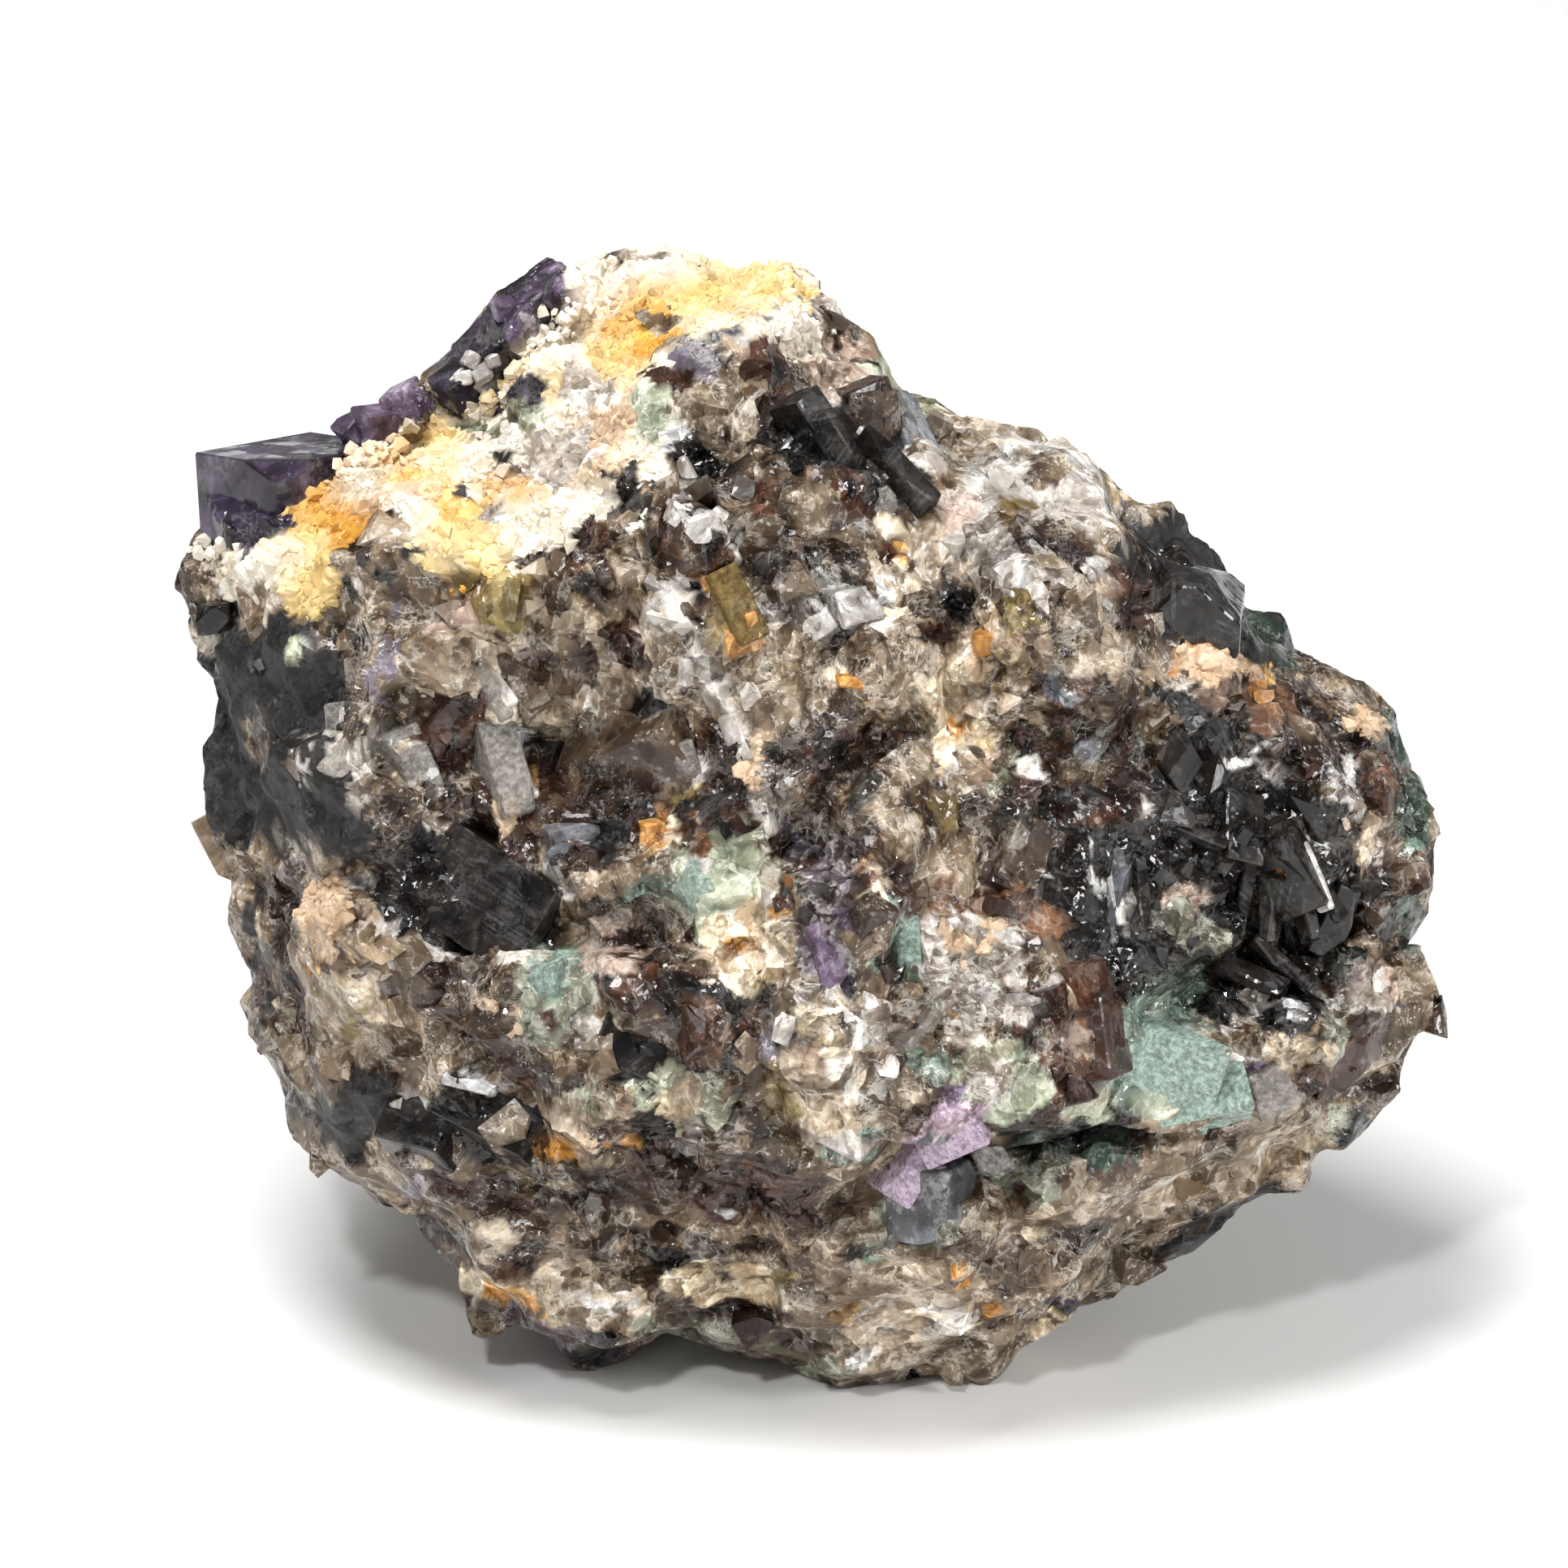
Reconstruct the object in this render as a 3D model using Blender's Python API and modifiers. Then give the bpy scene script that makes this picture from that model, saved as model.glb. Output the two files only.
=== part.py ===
"""A rough fluorite hand specimen: one broken lump of smoky, granular stone with cleaved fluorite grown into it.

The stone is shaped in its face frame and then leaned back onto its foot:
u runs to the right across the face, v up the face, and w out of it. All face sizes are in millimetres.
"""

import math

import bmesh
import bpy
from mathutils import Euler, Matrix, Vector, noise
from mathutils.geometry import delaunay_2d_cdt

NAME = "fluorite_specimen"
MM = 0.001

# Driving sizes
LEAN_DEG = 24.0          # how far the broken face leans back when the stone stands on its foot
FOOT_CUT_MM = -32.9      # height of the worn flat under the stone, from the middle of the face
FOOT_CUTTER_MM = 120.0
REMESH_MM = 0.95         # fineness of the stone before its flat parts are thinned out
STONE_TRIANGLES = 6900

# Breakage of the surface: size of the grains, and how far their faces tilt out of the surface
GRAINS = ((8.5, 0.34), (3.8, 0.42))
GRAIN_SIDE = 0.9         # steepness of the sides between grains
GRAIN_SHUFFLE = 7.31     # takes a grain's place to a random lean that has nothing to do with it
RIM_BREAKAGE = 0.55      # how strong the breakage still is where the surface turns edge-on

# Outline of the face, clockwise from the top of the crest: (u, v)
OUTLINE = [
    (-14.2, 33.6), (-11.3, 34.2), (-8.6, 35.0), (-6.7, 34.7), (-4.7, 34.0), (-1.0, 34.0),
    (0.4, 33.0), (1.2, 31.6), (2.1, 29.9), (4.6, 28.1), (5.7, 26.0), (7.6, 26.1),
    (9.6, 24.6), (10.9, 24.0), (14.2, 23.8), (16.4, 23.3), (18.0, 22.2), (18.2, 20.9),
    (20.0, 19.0), (21.8, 18.8), (24.0, 16.6), (26.2, 14.4), (27.3, 12.6), (28.6, 11.8),
    (30.6, 9.0), (33.2, 8.0), (34.8, 6.8), (35.8, 6.6), (36.8, 4.8), (36.7, 3.5),
    (37.8, 1.3), (38.0, -1.7), (37.9, -4.6), (38.5, -6.5), (37.8, -8.4), (39.0, -11.8),
    (37.7, -13.4), (37.5, -14.6), (36.2, -16.5), (35.0, -17.6), (33.7, -19.8), (30.2, -21.3),
    (27.9, -23.4), (26.2, -25.4), (24.0, -27.0), (21.0, -28.1), (18.0, -30.1), (14.9, -32.2),
    (11.8, -33.9), (9.9, -35.0), (6.2, -35.4), (3.2, -34.9), (1.0, -35.9), (-0.6, -35.1),
    (-2.7, -33.4), (-6.0, -32.3), (-9.8, -32.2), (-12.2, -34.0), (-14.0, -33.9), (-17.0, -32.7),
    (-20.2, -31.5), (-21.2, -30.2), (-22.3, -28.3), (-24.8, -26.0), (-25.0, -24.3), (-27.2, -23.8),
    (-28.0, -22.7), (-30.5, -21.2), (-32.2, -18.8), (-32.5, -17.3), (-34.2, -15.0), (-34.4, -9.9),
    (-35.3, -7.8), (-36.1, -6.0), (-36.4, -2.7), (-36.6, 0.3), (-36.5, 2.9), (-37.2, 7.7),
    (-37.9, 9.2), (-37.7, 11.0), (-38.1, 12.2), (-37.9, 13.2), (-38.8, 14.6), (-37.9, 17.0),
    (-35.5, 19.5), (-31.5, 21.2), (-27.5, 22.9), (-24.0, 24.3), (-22.0, 25.6), (-20.0, 28.0),
    (-18.2, 30.5), (-16.2, 32.4),
]

# Lines where the face changes slope: (u, v, w) along each
FACE_LINES = {
    "lower edge of the crust": [
        (-31.8, 13.2, 9.0), (-28.5, 18.0, 10.5), (-25.5, 20.0, 11.5), (-22.8, 15.5, 15.0),
        (-16.5, 18.0, 15.0), (-12.8, 20.5, 14.5), (-10.5, 26.0, 12.0), (-9.0, 29.4, 9.5),
        (-4.0, 29.2, 9.5), (1.0, 30.0, 5.5),
    ],
    "left ridge": [
        (-30.2, 9.5, 12.5), (-28.0, 6.0, 14.0), (-27.6, 2.0, 15.5), (-28.8, -1.5, 14.5),
        (-30.4, -5.0, 12.0), (-31.2, -9.5, 9.5), (-30.8, -15.0, 8.0), (-28.6, -19.5, 6.5),
    ],
    "foot of the dark cleavage": [
        (-27.4, -5.2, 12.0), (-23.5, -7.6, 11.2), (-17.5, -9.2, 11.6), (-12.5, -8.0, 14.2),
    ],
    "edge of the step below it": [
        (-27.0, -7.4, 14.5), (-23.0, -9.6, 15.4), (-17.0, -11.0, 16.6), (-11.5, -10.2, 18.2),
    ],
    "middle vein": [
        (-8.4, 18.5, 18.2), (-6.0, 12.5, 19.6), (-3.2, 8.0, 19.4), (-2.2, 0.5, 19.2),
        (-1.8, -6.0, 20.6), (-1.0, -10.0, 22.2),
    ],
    "sill of the pale block": [(8.0, 7.4, 18.4), (12.5, 6.6, 18.6), (17.0, 6.8, 17.4), (19.6, 8.4, 14.6)],
    "hollow under the sill": [(9.5, 4.8, 15.6), (13.5, 4.2, 15.0), (18.5, 4.6, 13.8), (21.5, 7.0, 12.4)],
    "lip of the pale bulge": [
        (-11.0, -17.5, 17.0), (-6.5, -20.2, 17.4), (-1.5, -21.0, 17.2), (4.0, -19.4, 18.0),
        (9.0, -17.6, 17.0), (14.5, -17.9, 14.2),
    ],
    "hollow under the bulge": [
        (-9.0, -21.9, 12.4), (-2.0, -23.3, 9.6), (3.5, -22.3, 8.6), (10.0, -20.9, 7.0),
        (16.5, -20.0, 6.4), (23.0, -19.0, 6.0),
    ],
    "rim of the lower slab": [
        (0.6, -29.6, 8.6), (4.6, -26.8, 11.6), (9.0, -24.2, 13.2), (13.5, -22.8, 12.6),
        (20.0, -20.9, 11.2), (25.0, -18.9, 9.8), (30.0, -16.6, 8.2), (34.2, -14.0, 5.4),
    ],
    "lower ledge": [
        (-25.2, -22.6, 6.0), (-18.5, -23.8, 9.6), (-12.0, -24.6, 10.6), (-6.0, -24.6, 10.8), (-1.2, -26.6, 9.2),
    ],
    "ridge of the dark shoulder": [
        (21.5, 16.0, 6.8), (24.0, 11.5, 9.0), (26.5, 7.6, 11.4), (30.5, 3.6, 9.6), (34.2, 1.0, 6.2),
    ],
}

# Single high and low spots of the face: (u, v, w)
FACE_SPOTS = [
    (-33.5, 17.0, 5.0), (-28.5, 20.4, 5.6), (-21.5, 22.0, 8.0), (-17.2, 26.8, 5.2), (-13.2, 28.0, 7.0),
    (-9.5, 32.0, 4.2), (-3.0, 31.8, 4.6), (-34.4, 8.5, 6.0), (-33.6, 2.5, 7.6), (-34.0, -3.0, 5.6),
    (-25.5, 10.5, 17.2), (-18.0, 13.0, 18.8), (-11.5, 14.5, 17.8), (-9.6, 22.0, 14.2), (-4.0, 24.0, 13.4),
    (3.0, 25.2, 9.2), (-1.5, 20.0, 17.4), (2.6, 15.5, 19.4), (3.8, 21.0, 12.4), (7.0, 17.0, 14.0),
    (3.4, 9.6, 20.2), (10.0, 20.6, 11.2), (14.4, 20.4, 11.0), (16.6, 17.0, 12.6), (10.4, 13.6, 17.6),
    (15.6, 12.2, 17.0), (18.8, 12.4, 13.6), (-22.6, 5.0, 14.0), (-18.4, 3.4, 12.4), (-13.6, 4.6, 13.0),
    (-19.5, -0.6, 14.6), (-12.6, 0.4, 16.4), (-8.0, 4.4, 15.8), (-7.0, -2.0, 18.4), (3.0, 3.0, 19.4),
    (9.0, 0.6, 18.0), (4.6, -3.4, 20.4), (-24.0, -1.4, 14.8), (-20.0, -4.4, 12.8), (-12.0, -4.0, 16.6),
    (-6.6, -7.6, 19.8), (-5.6, -14.0, 20.6), (3.0, -8.4, 20.6), (1.0, -14.2, 22.4), (8.4, -9.4, 18.8),
    (7.4, -14.6, 20.2), (14.0, -12.8, 17.2), (14.4, -2.6, 16.6), (20.0, -4.8, 14.0), (17.0, 1.2, 15.2),
    (23.6, 0.2, 13.4), (29.0, -1.6, 11.0), (25.6, -5.6, 8.6), (29.6, -8.6, 7.2), (33.6, -6.0, 6.8),
    (22.4, -11.6, 12.6), (19.4, -15.4, 13.8), (25.4, -14.6, 10.8), (30.6, -12.4, 9.0), (34.6, -10.4, 6.0),
    (-26.0, -13.0, 12.6), (-20.6, -13.8, 15.0), (-15.0, -14.6, 17.0), (-24.0, -18.0, 10.2), (-18.4, -18.4, 11.6),
    (-13.6, -20.4, 12.4), (-19.6, -27.2, 6.6), (-13.0, -28.6, 7.4), (-6.0, -29.2, 7.0), (9.8, -29.6, 7.4),
    (17.0, -26.4, 6.6), (24.6, -22.6, 4.8), (4.4, -32.4, 4.6), (30.4, 6.0, 5.4), (35.0, -1.8, 3.4),
]

# High and low spots of the hidden back, down to the flat that becomes the foot: (u, v, w)
BACK_SPOTS = [
    (-33.6, 9.0, -9.0), (-33.0, -2.0, -11.0), (-30.4, -12.0, -10.5), (-27.0, 14.5, -13.0), (-18.0, 21.0, -15.5),
    (-10.6, 27.0, -15.0), (-2.0, 27.6, -13.0), (8.0, 20.4, -15.5), (16.0, 17.6, -11.0), (22.0, 11.0, -14.5),
    (30.0, 3.0, -11.5), (33.8, -5.0, -10.0), (32.4, -13.0, -11.0), (25.6, -19.6, -13.0), (18.4, -25.4, -15.0),
    (11.0, -28.6, -19.5), (0.0, -28.9, -22.0), (-11.0, -28.4, -19.8), (-19.6, -25.6, -14.5), (-26.4, -18.6, -13.5),
    (-22.0, 6.6, -20.5), (-23.6, -6.0, -19.0), (-17.4, -16.4, -21.0), (-12.0, 12.4, -22.5), (-9.0, 0.0, -26.5),
    (-6.0, -14.0, -26.0), (1.4, 17.6, -20.5), (3.4, 6.0, -25.0), (9.6, -4.0, -26.5), (6.6, -18.8, -26.5),
    (14.6, 8.6, -19.0), (20.6, -1.4, -20.5), (18.6, -12.6, -22.0), (27.0, -8.4, -16.0), (-1.0, -23.6, -26.0),
]
RIM_BACK_MM = 2.0        # the outline lies this far behind the face frame's middle,
RIM_TOP_BACK_MM = 3.0    # and this much further back at the very top
LOBE_U_MM, LOBE_WIDTH_MM, LOBE_BACK_MM = -13.3, 4.0, 3.0     # the lower left lobe, beside the foot
SHOULDER_IN, SHOULDER_FRONT_MM, SHOULDER_BACK_MM = 0.955, 3.2, 5.0   # blunt edge just inside the outline
MIDDLE_V_MM = -2.0

# Cleaved crystals: name, centre (u, v, w), size along its own axes, turn about u, v and w in degrees
CRYSTALS = [
    ("left cube", (-32.7, 17.9, 0.6), (8.0, 5.0, 8.0), (26, 8, 15)),
    ("left cube's neighbour", (-34.9, 14.9, -3.0), (4.4, 4.6, 4.6), (14, -20, 8)),
    ("cube behind the crust", (-28.8, 20.2, -2.6), (5.0, 4.6, 5.6), (30, 0, 20)),
    ("small violet cube", (-26.7, 23.7, 1.0), (2.3, 2.3, 2.5), (20, 32, 8)),
    ("smallest violet cube", (-24.6, 24.9, 0.8), (2.1, 2.1, 2.4), (12, -25, 24)),
    ("low crest crystal", (-20.3, 26.0, 0.2), (4.6, 4.8, 6.2), (16, 8, 42)),
    ("middle crest crystal", (-18.2, 28.4, -0.2), (4.8, 4.8, 6.2), (24, 0, 50)),
    ("upper crest crystal", (-15.9, 31.0, -0.6), (4.0, 4.2, 5.6), (20, 12, 34)),
    ("black cleavage slab", (-22.2, -3.0, 11.4), (9.6, 6.6, 4.0), (-30, -14, -20)),
    ("left milky blade", (-27.4, 3.2, 13.2), (2.4, 6.8, 4.4), (-6, -22, 8)),
    ("honey wedge", (-24.2, 1.8, 12.7), (3.2, 6.6, 4.4), (14, 26, 26)),
    ("glassy blade", (-18.9, 2.2, 12.0), (2.4, 7.0, 4.4), (-10, 20, 14)),
    ("short glassy blade", (-19.6, 6.9, 13.7), (1.3, 3.8, 3.0), (-12, 24, 20)),
    ("smoky tent", (-9.4, 3.0, 14.2), (6.6, 6.2, 4.8), (26, -30, 22)),
    ("tent's far side", (-12.6, 3.4, 13.2), (3.4, 6.8, 4.0), (14, 34, -12)),
    ("olive crystal", (-4.8, 12.2, 18.0), (2.1, 4.8, 3.6), (0, 22, 26)),
    ("black slab at the top", (2.2, 21.0, 12.2), (3.8, 8.6, 4.6), (-14, 28, 36)),
    ("grey slab at the top", (5.2, 22.4, 8.4), (3.2, 6.0, 4.4), (-20, -20, 32)),
    ("pale block", (14.2, 11.8, 12.2), (7.6, 9.2, 7.4), (12, 18, -8)),
    ("violet cleavage", (0.9, -7.4, 18.7), (5.0, 8.2, 4.6), (8, 12, 2)),
    ("violet foot", (1.8, -10.4, 19.5), (4.4, 3.6, 4.4), (-14, 20, -20)),
    ("green slab", (21.0, -15.4, 11.0), (6.8, 6.2, 5.0), (22, 16, -10)),
    ("green slab's lower half", (23.4, -17.6, 9.4), (6.0, 3.4, 4.6), (-18, 8, 12)),
    ("grey wedge", (27.4, -16.4, 8.0), (3.4, 3.2, 4.4), (24, 20, 28)),
    ("pink crystal", (8.4, -18.7, 14.0), (4.4, 2.6, 4.0), (26, -18, 24)),
    ("lower pink crystal", (5.6, -21.6, 11.9), (2.0, 3.8, 3.6), (0, 24, -32)),
    ("steel grey block", (7.4, -23.3, 11.9), (4.4, 4.6, 4.6), (16, -26, -4)),
    ("shadowed prism", (12.4, -21.8, 8.6), (4.4, 3.0, 4.4), (30, 10, -22)),
    ("right grey facet", (35.3, -11.4, 0.8), (4.2, 5.2, 6.0), (6, 28, 22)),
    ("right shard", (31.8, -12.8, 5.4), (2.6, 6.8, 4.4), (-14, 26, -14)),
    ("striped cleavage", (-18.4, -18.0, 10.7), (6.6, 5.2, 4.6), (-26, -16, -26)),
    ("striped cleavage's step", (-23.0, -18.6, 8.0), (4.4, 5.6, 4.6), (-20, -26, -14)),
    ("round dark grain", (-11.4, -13.9, 16.2), (4.2, 4.0, 4.0), (-14, 12, -24)),
    ("smoky chevron", (-18.2, -12.2, 14.2), (6.8, 4.0, 4.0), (10, -18, -34)),
    ("steel blade", (18.6, -5.4, 13.0), (1.7, 6.6, 4.4), (6, -24, -14)),
    ("brown cleavage", (13.6, -3.4, 14.9), (6.4, 4.4, 4.0), (-16, 22, -28)),
    ("dark shoulder block", (22.0, 11.4, 4.4), (5.8, 7.6, 7.4), (18, 20, -40)),
    ("right rim block", (33.8, -2.4, 1.8), (4.6, 6.8, 6.4), (-8, 26, 10)),
    ("back cube", (12.0, 6.0, -20.0), (11.0, 10.0, 7.0), (24, -20, 16)),
    ("low back cube", (-14.0, -9.0, -21.6), (10.0, 9.0, 7.0), (-18, 14, 28)),
    ("upper back cube", (-8.0, 18.0, -17.6), (8.0, 7.6, 7.0), (30, 18, -14)),
    ("side back cube", (26.0, -3.0, -13.4), (7.4, 9.0, 6.6), (-8, -30, 20)),
]
CRYSTAL_BEVEL_MM = 0.25


def in_face_frame(u, v, w):
    """The point (u, v, w) of the leaned face, in metres in the upright frame."""
    lean = math.radians(LEAN_DEG)
    return Vector((
        u,
        v * math.sin(lean) - w * math.cos(lean),
        v * math.cos(lean) + w * math.sin(lean),
    )) * MM


def lean_matrix():
    """Turns a solid made with x, y and z as u, v and w into the upright frame."""
    return Matrix.Rotation(math.radians(90 - LEAN_DEG), 4, "X")


def rim_point(u, v):
    """A point of the outline, set back where the crest and the lower left lobe lie further from the viewer."""
    top = max(0.0, v / OUTLINE[2][1])
    lobe = math.exp(-((u - LOBE_U_MM) / LOBE_WIDTH_MM) ** 2) if v < 0 else 0.0
    return (u, v, -RIM_BACK_MM - RIM_TOP_BACK_MM * top - LOBE_BACK_MM * lobe)


def shoulder(step):
    """A ring just inside the outline, so that the stone's edge is blunt instead of a blade."""
    ring = []
    for u, v in OUTLINE[::2]:
        w = rim_point(u, v)[2]
        ring.append((u * SHOULDER_IN, MIDDLE_V_MM + (v - MIDDLE_V_MM) * SHOULDER_IN, w + step))
    return ring


def relief(lines, spots):
    """Joins the outline, the lines and the spots of one side into a skin of flat fracture faces."""
    points = [rim_point(u, v) for u, v in OUTLINE]
    count = len(points)
    edges = [(i, (i + 1) % count) for i in range(count)]
    for line in lines:
        first = len(points)
        points += line
        edges += [(i, i + 1) for i in range(first, first + len(line) - 1)]
    points += spots
    flat = [Vector(p[:2]) for p in points]
    _, _, faces, origins, _, _ = delaunay_2d_cdt(flat, edges, [], 1, 1e-5)
    return points, [[origins[corner][0] for corner in face] for face in faces]


def stone_cage():
    """The closed, coarse stone: the skin of the face and the skin of the back, sewn along the outline."""
    cage = bmesh.new()
    rim = [cage.verts.new(in_face_frame(*rim_point(u, v))) for u, v in OUTLINE]
    skins = (
        (list(FACE_LINES.values()), FACE_SPOTS + shoulder(SHOULDER_FRONT_MM), 1),
        ([], BACK_SPOTS + shoulder(-SHOULDER_BACK_MM), -1),
    )
    for lines, spots, side in skins:
        points, faces = relief(lines, spots)
        corners = rim + [cage.verts.new(in_face_frame(*p)) for p in points[len(rim):]]
        for face in faces:
            if max(face) < len(rim):
                # three outline points in a row: the skin bulges between them, so both sides stay apart
                tip = sum((Vector(points[i]) for i in face), Vector()) / len(face) + Vector((0, 0, side))
                peak = cage.verts.new(in_face_frame(*tip))
                for a, b in zip(face, face[1:] + face[:1]):
                    cage.faces.new([corners[a], corners[b], peak])
            else:
                cage.faces.new([corners[i] for i in face])
    bmesh.ops.recalc_face_normals(cage, faces=cage.faces)
    mesh = bpy.data.meshes.new("stone_cage")
    cage.to_mesh(mesh)
    cage.free()
    return mesh


def grain_faces(point, grain_mm, tilt):
    """Height in metres of the grains' faces here: each grain is a tilted plane that ends in a steep side."""
    scaled = point / (grain_mm * MM)
    distances, centres = noise.voronoi(scaled)
    heights = []
    for distance, centre in zip(distances, centres):
        lean = noise.cell_vector(centre * GRAIN_SHUFFLE) * 2 - Vector((1, 1, 1))
        side = (distance ** 2 - distances[0] ** 2) * GRAIN_SIDE
        heights.append((scaled - centre).dot(lean) * tilt - side)
    return max(heights) * grain_mm * MM


def break_surface(mesh):
    """Moves the skin so that it shows the tilted faces of its grains, less at the outline than on the face."""
    outward = in_face_frame(0, 0, 1).normalized()
    normals = [vertex.normal.copy() for vertex in mesh.vertices]
    for vertex, normal in zip(mesh.vertices, normals):
        facing = RIM_BREAKAGE + (1 - RIM_BREAKAGE) * abs(normal.dot(outward))
        height = sum(grain_faces(vertex.co, size, tilt) for size, tilt in GRAINS)
        vertex.co += normal * height * facing


def evaluated_mesh(obj):
    """A new mesh holding the object's shape with its modifiers applied."""
    graph = bpy.context.evaluated_depsgraph_get()
    return bpy.data.meshes.new_from_object(obj.evaluated_get(graph))


def bake_modifiers(obj):
    """Replaces the object's mesh by its evaluated shape."""
    obj.data = evaluated_mesh(obj)
    obj.modifiers.clear()


def make_stone(collection):
    stone = bpy.data.objects.new(NAME, stone_cage())
    collection.objects.link(stone)
    remesh = stone.modifiers.new("even grain", "REMESH")
    remesh.mode = "VOXEL"
    remesh.voxel_size = REMESH_MM * MM
    bake_modifiers(stone)
    break_surface(stone.data)
    thin = stone.modifiers.new("thin flat parts", "DECIMATE")
    thin.ratio = STONE_TRIANGLES / (2 * len(stone.data.polygons))
    bake_modifiers(stone)
    return stone


def make_crystal(collection, name, centre, size, turn):
    """A cleaved block with slightly worn edges, which the stone is joined with."""
    bpy.ops.mesh.primitive_cube_add(size=1)
    crystal = bpy.context.active_object
    crystal.name = "cutter " + name
    for vertex in crystal.data.vertices:
        vertex.co = Vector(a * b * MM for a, b in zip(vertex.co, size))
    turned = Euler([math.radians(a) for a in turn]).to_matrix().to_4x4()
    crystal.matrix_world = Matrix.Translation(in_face_frame(*centre)) @ lean_matrix() @ turned
    wear = crystal.modifiers.new("worn edges", "BEVEL")
    wear.width = CRYSTAL_BEVEL_MM * MM
    wear.segments = 1
    hide_as_tool(crystal, collection)
    return crystal


def hide_as_tool(obj, collection):
    """Keeps a helper solid out of the render."""
    for other in list(obj.users_collection):
        other.objects.unlink(obj)
    collection.objects.link(obj)
    obj.hide_render = True
    obj.display_type = "WIRE"


def join_with(stone, tool, operation):
    cut = stone.modifiers.new(tool.name, "BOOLEAN")
    cut.operation = operation
    cut.solver = "EXACT"
    cut.object = tool
    bake_modifiers(stone)


def make_foot_cutter(collection):
    """A block that fills everything below the worn flat."""
    middle = (0, 0, (FOOT_CUT_MM - FOOT_CUTTER_MM / 2) * MM)
    bpy.ops.mesh.primitive_cube_add(size=FOOT_CUTTER_MM * MM, location=middle)
    cutter = bpy.context.active_object
    cutter.name = "foot cutter"
    hide_as_tool(cutter, collection)
    return cutter


def close_pockets(stone):
    """Fills any hollow shut in between joined crystals, by keeping only the outer skin."""
    skin = bmesh.new()
    skin.from_mesh(stone.data)
    shells = []
    waiting = set(skin.verts)
    while waiting:
        shell = set()
        front = [waiting.pop()]
        while front:
            vertex = front.pop()
            shell.add(vertex)
            for edge in vertex.link_edges:
                other = edge.other_vert(vertex)
                if other in waiting:
                    waiting.remove(other)
                    front.append(other)
        shells.append(shell)
    shells.sort(key=len)
    for shell in shells[:-1]:
        bmesh.ops.delete(skin, geom=list(shell), context="VERTS")
    skin.to_mesh(stone.data)
    skin.free()


def stand_on_origin(stone):
    """Moves the stone so that the middle of its box's underside is the origin."""
    corners = [vertex.co for vertex in stone.data.vertices]
    low = Vector(map(min, *corners))
    high = Vector(map(max, *corners))
    stone.location = (-(low.x + high.x) / 2, -(low.y + high.y) / 2, -low.z)


def smoky_stone():
    material = bpy.data.materials.new("smoky stone")
    material.use_nodes = True
    surface = material.node_tree.nodes["Principled BSDF"]
    surface.inputs["Base Color"].default_value = (0.16, 0.13, 0.11, 1)
    surface.inputs["Roughness"].default_value = 0.35
    surface.inputs["Metallic"].default_value = 0.0
    return material


def main():
    for obj in list(bpy.data.objects):
        bpy.data.objects.remove(obj)
    parts = bpy.data.collections.new("fluorite specimen")
    tools = bpy.data.collections.new("tools")
    for collection in (parts, tools):
        bpy.context.scene.collection.children.link(collection)
    stone = make_stone(parts)
    for name, centre, size, turn in CRYSTALS:
        join_with(stone, make_crystal(tools, name, centre, size, turn), "UNION")
    join_with(stone, make_foot_cutter(tools), "DIFFERENCE")
    close_pockets(stone)
    stand_on_origin(stone)
    stone.data.materials.clear()
    stone.data.materials.append(smoky_stone())


main()
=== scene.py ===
import math

import bpy
import numpy as np
from bpy.props import FloatProperty, FloatVectorProperty, IntProperty, PointerProperty
from mathutils import Euler, Matrix, Vector


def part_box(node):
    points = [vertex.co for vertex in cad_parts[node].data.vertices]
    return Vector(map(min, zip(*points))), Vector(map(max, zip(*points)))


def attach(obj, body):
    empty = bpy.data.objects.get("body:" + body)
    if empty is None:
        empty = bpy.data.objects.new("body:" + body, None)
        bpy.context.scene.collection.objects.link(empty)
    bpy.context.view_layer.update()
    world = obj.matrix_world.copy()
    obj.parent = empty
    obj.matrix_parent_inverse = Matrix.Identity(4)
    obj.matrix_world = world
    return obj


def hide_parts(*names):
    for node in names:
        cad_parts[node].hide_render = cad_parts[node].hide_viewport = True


bl_info = {
    "name": "Fluorite hand specimen",
    "version": (1, 0, 0),
    "blender": (4, 5, 0),
    "location": "3D View > Sidebar > Specimen",
    "description": "Broken smoky rock with cleaved fluorite crystals and an iron stained crest",
    "category": "Add Mesh",
}

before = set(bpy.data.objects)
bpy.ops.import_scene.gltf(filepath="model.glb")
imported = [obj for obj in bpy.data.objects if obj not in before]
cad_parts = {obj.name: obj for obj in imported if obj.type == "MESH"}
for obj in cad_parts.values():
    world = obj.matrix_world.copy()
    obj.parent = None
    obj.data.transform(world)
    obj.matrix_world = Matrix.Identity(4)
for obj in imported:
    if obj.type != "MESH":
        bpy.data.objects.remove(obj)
CAD_NODE = "fluorite_specimen"
BODY = "root"
MM = 0.001
CAD_LOW, CAD_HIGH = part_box(CAD_NODE)

# The broken face leans back from the viewer. u runs right, v up the face and w out of it, all in
# millimetres, and FACE_MIDDLE is where its middle stands in the frame.
LEAN = math.radians(24.0)
FACE_MIDDLE = np.array((0.16, -0.79, 32.9))
EYE_U, EYE_V, EYE_W = -1.7, 1.7, 700.0
VIEW_WIDTH = 96.6

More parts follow.
